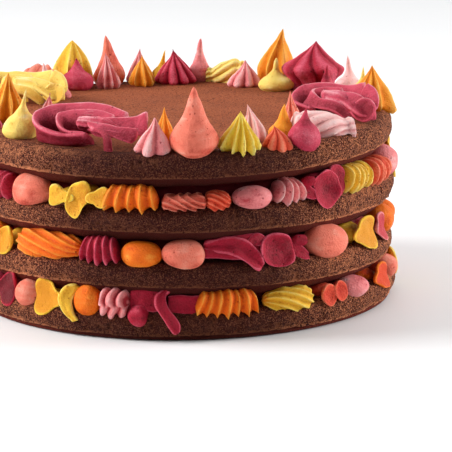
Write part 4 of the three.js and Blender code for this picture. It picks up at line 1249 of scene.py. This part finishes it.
def core_skin(low, high, seed):
    """Buttercream that fills the gap behind the rim pieces: a disc whose edge bulges in half an
    ellipse, made uneven. It is coloured mostly in the painted shade tone of the crimson."""
    bearing = np.linspace(0, 2 * np.pi, CORE_COLUMNS, endpoint=False)
    turn = np.linspace(-np.pi / 2, np.pi / 2, CORE_ROWS)[:, None]
    radius = CORE_RADIUS + CORE_BULGE * np.cos(turn)
    height = (low + high) / 2 + (high - low + CORE_OVERLAP) / 2 * np.sin(turn)
    grid = np.stack((radius * np.cos(bearing), radius * np.sin(bearing),
                     height + 0 * bearing), axis=-1)
    # crest value 0: painted shade almost throughout
    skin = Skin.lofted(grid, np.full(grid.shape[:2], 0.0)).roughened(6.0, 1.2, seed)
    skin.points = settle(skin.points)
    return skin


# ------------------------------------------------------------------ settings

def size_property(label, description, default):
    return bpy.props.FloatProperty(
        name=label, description=description, default=default, min=0.0, unit="LENGTH")


def colour_property(label, description, rgb):
    return bpy.props.FloatVectorProperty(
        name=label.capitalize(), description=description, subtype="COLOR", size=3,
        min=0.0, max=1.0, default=linear(rgb))


class CakeIcingSettings(bpy.types.PropertyGroup):
    """Deep, body and crest colour of each buttercream, and its air bubbles."""
    __annotations__ = {
        f"{icing}_{tone}": colour_property(
            f"{icing} {tone}", f"Colour of the {icing} buttercream: {tone} tone", rgb)
        for icing, tones in ICINGS.items() for tone, rgb in zip(TONES, tones)}
    __annotations__["pits"] = bpy.props.FloatProperty(
        name="Air bubbles", description="Depth of the buttercream's bubbles and grain",
        default=1.0, min=0.0)


class CakeSpongeSettings(bpy.types.PropertyGroup):
    """Colours and crumb of the chocolate sponge."""
    __annotations__ = {
        part: colour_property(f"Sponge {part}", f"Colour of the sponge: {part}", rgb)
        for part, rgb in SPONGE.items()}
    __annotations__["relief"] = size_property(
        "Crumb relief", "Depth of the finest crumb", 0.0009)


class CakeStageSettings(bpy.types.PropertyGroup):
    """Floor, camera and lights."""
    __annotations__ = {
        f"{name}_power": bpy.props.FloatProperty(
            name=f"{name} light".capitalize(), description=f"Power of the {name} light",
            default=light[-1], min=0.0, unit="POWER")
        for name, light in LIGHTS.items()}
    __annotations__["floor_size"] = size_property(
        "Floor size", "Edge length of the floor", 30.0)
    __annotations__["distance"] = size_property(
        "Camera distance", "From the cake's middle to the camera", CAMERA_DISTANCE)


# ------------------------------------------------------------------ operators

LAYER_SEED = 40
CORE_SEED = 70
RIM_SEED = 1000
TOPPING_SEED = 5000


class CAKE_OT_layers(bpy.types.Operator):
    """Bake the four chocolate layers"""
    bl_idname = "cake.layers"
    bl_label = "Sponge layers"

    def execute(self, context):
        material = sponge_material(context.scene.cake_sponge)
        for number, layer in enumerate(LAYERS, 1):
            rows = TOP_ROWS if number == len(LAYERS) else COVERED_ROWS
            skin = layer_skin(layer, *rows, LAYER_SEED + 10 * number)
            skin.to_object(f"crumb_layer_{number}", material, "sponge", [f"sponge_{number}"])
        return {"FINISHED"}


def icing_materials(context):
    """One material for each buttercream, made on first use."""
    if "piped_tint" not in bpy.data.node_groups:
        tint, pits = tint_group(), pits_group()
        for icing in ICINGS:
            icing_material(icing, context.scene.cake_icing, tint, pits)
    return {icing: bpy.data.materials[f"{icing}_buttercream"] for icing in ICINGS}


class CAKE_OT_fillings(bpy.types.Operator):
    """Pipe the fillings between the layers"""
    bl_idname = "cake.fillings"
    bl_label = "Fillings"

    def execute(self, context):
        materials = icing_materials(context)
        for number, front in enumerate(RIMS, 1):
            low = LAYERS[number - 1][0] + LAYERS[number - 1][1]
            high = LAYERS[number][0]
            node = f"filling_{number}"
            core_skin(low, high, CORE_SEED + number).to_object(
                f"core_{number}", materials["crimson"], "crimson_icing", [node])
            groups = {}
            for index, piece in enumerate(full_rim(front)):
                kind, colour, bearing, half_width, hang, style = piece
                skin = rim_skin(kind, half_width, hang, style, RIM_SEED * number + 10 * index)
                groups.setdefault(colour, []).append(
                    place_on_rim(skin, bearing, (low + high) / 2))
            for colour, skins in groups.items():
                Skin.joined(skins).to_object(
                    f"rim_{number}_{colour}", materials[colour], f"{colour}_icing", [node])
        return {"FINISHED"}


def set_down(skin, number, piece, height, turn, context):
    """Places one topping and makes its object, in its batch; the brighter batch of number 7 is
    painted light.
    """
    kind, colour, bearing, distance = piece[:4]
    place_on_top(skin, bearing, distance, height, turn)
    material = icing_materials(context)[PALER.get(number, colour)]
    skin.to_object(f"piped_{kind}_{colour}_{number}", material, f"{colour}_icing",
                   [f"top_{kind}_{colour}_{number}"])


class CAKE_OT_peaks(bpy.types.Operator):
    """Pipe the stars and kisses on top"""
    bl_idname = "cake.peaks"
    bl_label = "Stars and kisses"

    def execute(self, context):
        for number, piece in enumerate(PEAKS, 1):
            half_width, height, ridges, lean, profile = piece[4:]
            skin = peak_skin(profile, half_width, height, ridges, lean,
                             number in ROUND_LOBED, TOPPING_SEED + 10 * number)
            set_down(skin, number, piece, height, 0.0, context)
        return {"FINISHED"}


class CAKE_OT_ruffles(bpy.types.Operator):
    """Pipe the ruffles on top"""
    bl_idname = "cake.ruffles"
    bl_label = "Ruffles"

    def execute(self, context):
        rosette, swirl = (ROSETTE, ROSETTE_ROPES, ()), (SWIRL, SWIRL_ROPES, (SWIRL_LOBE,))
        forms = (rosette, swirl, swirl)
        for number, (piece, form) in enumerate(zip(RUFFLES, forms), len(PEAKS) + 1):
            half_length, height, turn = piece[4:]
            skin = ruffle_skin(*form, half_length, TOPPING_SEED + 10 * number)
            set_down(skin, number, piece, height, turn, context)
        return {"FINISHED"}


class CAKE_OT_shells(bpy.types.Operator):
    """Pipe the shells on top"""
    bl_idname = "cake.shells"
    bl_label = "Shells"

    def execute(self, context):
        for number, piece in enumerate(SHELLS, len(PEAKS) + len(RUFFLES) + 1):
            half_length, half_depth, height, turn = piece[4:]
            skin = shell_skin(half_length, half_depth, height, TOPPING_SEED + 10 * number)
            set_down(skin, number, piece, height, turn, context)
        return {"FINISHED"}


def facing(direction):
    """Turn of a light or camera that looks along a direction."""
    return direction.to_track_quat("-Z", "Y").to_euler()


def add_light(name, place, aim_height, diameter, power):
    """Soft round light that faces a point on the cake's axis."""
    light = bpy.data.lights.new(name, "AREA")
    light.shape = "DISK"
    light.size = diameter
    light.energy = power
    lamp = bpy.data.objects.new(name, light)
    lamp.location = place
    lamp.rotation_euler = facing(Vector((0, 0, aim_height)) - Vector(place))
    bpy.context.scene.collection.objects.link(lamp)


def add_floor(size):
    """Plain pale floor."""
    bpy.ops.mesh.primitive_plane_add(size=size, location=(0, 0, -FLOOR_DROP))
    floor = bpy.context.object
    floor.name = "floor"
    material, tree, shader = principled("pale_floor")
    tree.links.new(mixed(tree, object_noise(tree, 3.0), *FLOOR_TONES),
                   shader.inputs["Base Color"])
    shader.inputs["Roughness"].default_value = 0.6
    floor.data.materials.append(material)


def studio_world():
    """White surroundings, darker on the camera's side than behind the cake."""
    world = bpy.data.worlds.new("studio")
    world.use_nodes = True
    tree = world.node_tree
    place = tree.nodes.new("ShaderNodeTexCoord")
    split = tree.nodes.new("ShaderNodeSeparateXYZ")
    tree.links.new(place.outputs["Generated"], split.inputs["Vector"])
    background = tree.nodes["Background"]
    background.inputs["Color"].default_value = STUDIO_WHITE
    tree.links.new(mapped(tree, split.outputs["Y"], -0.9, 0.9, *STUDIO_STRENGTH),
                   background.inputs["Strength"])
    return world


def photo_camera(distance):
    """Camera at the photograph's angle, turned off its aim so that the aim's height on the axis
    falls on the photograph's own picture point."""
    elevation = np.radians(CAMERA_ELEVATION)
    forward = Vector((0, np.cos(elevation), -np.sin(elevation)))
    right = Vector((1, 0, 0))
    upward = right.cross(forward)
    camera = bpy.data.cameras.new("camera")
    camera.sensor_width = SENSOR
    camera.lens = FOCAL_PIXELS / PICTURE * SENSOR
    camera.clip_end = 60.0
    eye = bpy.data.objects.new("camera", camera)
    eye.location = Vector((0, 0, AIM_HEIGHT)) - forward * distance
    off_x, off_y = ((PICTURE / 2 - pixel) / FOCAL_PIXELS for pixel in AIM_PIXEL)
    eye.rotation_euler = facing(forward + right * off_x - upward * off_y)
    return eye


class CAKE_OT_stage(bpy.types.Operator):
    """Set up the floor, the lights and the camera"""
    bl_idname = "cake.stage"
    bl_label = "Stage"

    def execute(self, context):
        scene, settings = context.scene, context.scene.cake_stage
        add_floor(settings.floor_size)
        scene.world = studio_world()
        for name, (place, aim_height, diameter, _) in LIGHTS.items():
            add_light(name, place, aim_height, diameter, getattr(settings, f"{name}_power"))
        eye = photo_camera(settings.distance)
        scene.collection.objects.link(eye)
        scene.camera = eye
        scene.view_settings.view_transform = "Standard"
        scene.view_settings.look = "None"
        return {"FINISHED"}


class CAKE_PT_panel(bpy.types.Panel):
    """Cake pieces and their settings"""
    bl_label = "Layer cake"
    bl_space_type = "VIEW_3D"
    bl_region_type = "UI"
    bl_category = "Cake"

    def draw(self, context):
        for operator in OPERATORS:
            self.layout.operator(operator.bl_idname)
        for group in SETTINGS:
            for name in SETTINGS[group].__annotations__:
                self.layout.prop(getattr(context.scene, group), name)


OPERATORS = (CAKE_OT_layers, CAKE_OT_fillings, CAKE_OT_peaks, CAKE_OT_ruffles, CAKE_OT_shells,
             CAKE_OT_stage)
SETTINGS = {"cake_icing": CakeIcingSettings, "cake_sponge": CakeSpongeSettings,
            "cake_stage": CakeStageSettings}


def register():
    for group, kind in SETTINGS.items():
        bpy.utils.register_class(kind)
        setattr(bpy.types.Scene, group, bpy.props.PointerProperty(type=kind))
    for kind in (*OPERATORS, CAKE_PT_panel):
        bpy.utils.register_class(kind)


def unregister():
    for kind in (CAKE_PT_panel, *reversed(OPERATORS)):
        bpy.utils.unregister_class(kind)
    for group, kind in SETTINGS.items():
        delattr(bpy.types.Scene, group)
        bpy.utils.unregister_class(kind)


def main():
    register()
    bpy.ops.cake.layers()
    bpy.ops.cake.fillings()
    bpy.ops.cake.peaks()
    bpy.ops.cake.ruffles()
    bpy.ops.cake.shells()
    bpy.ops.cake.stage()


if __name__ == "__main__":
    main()
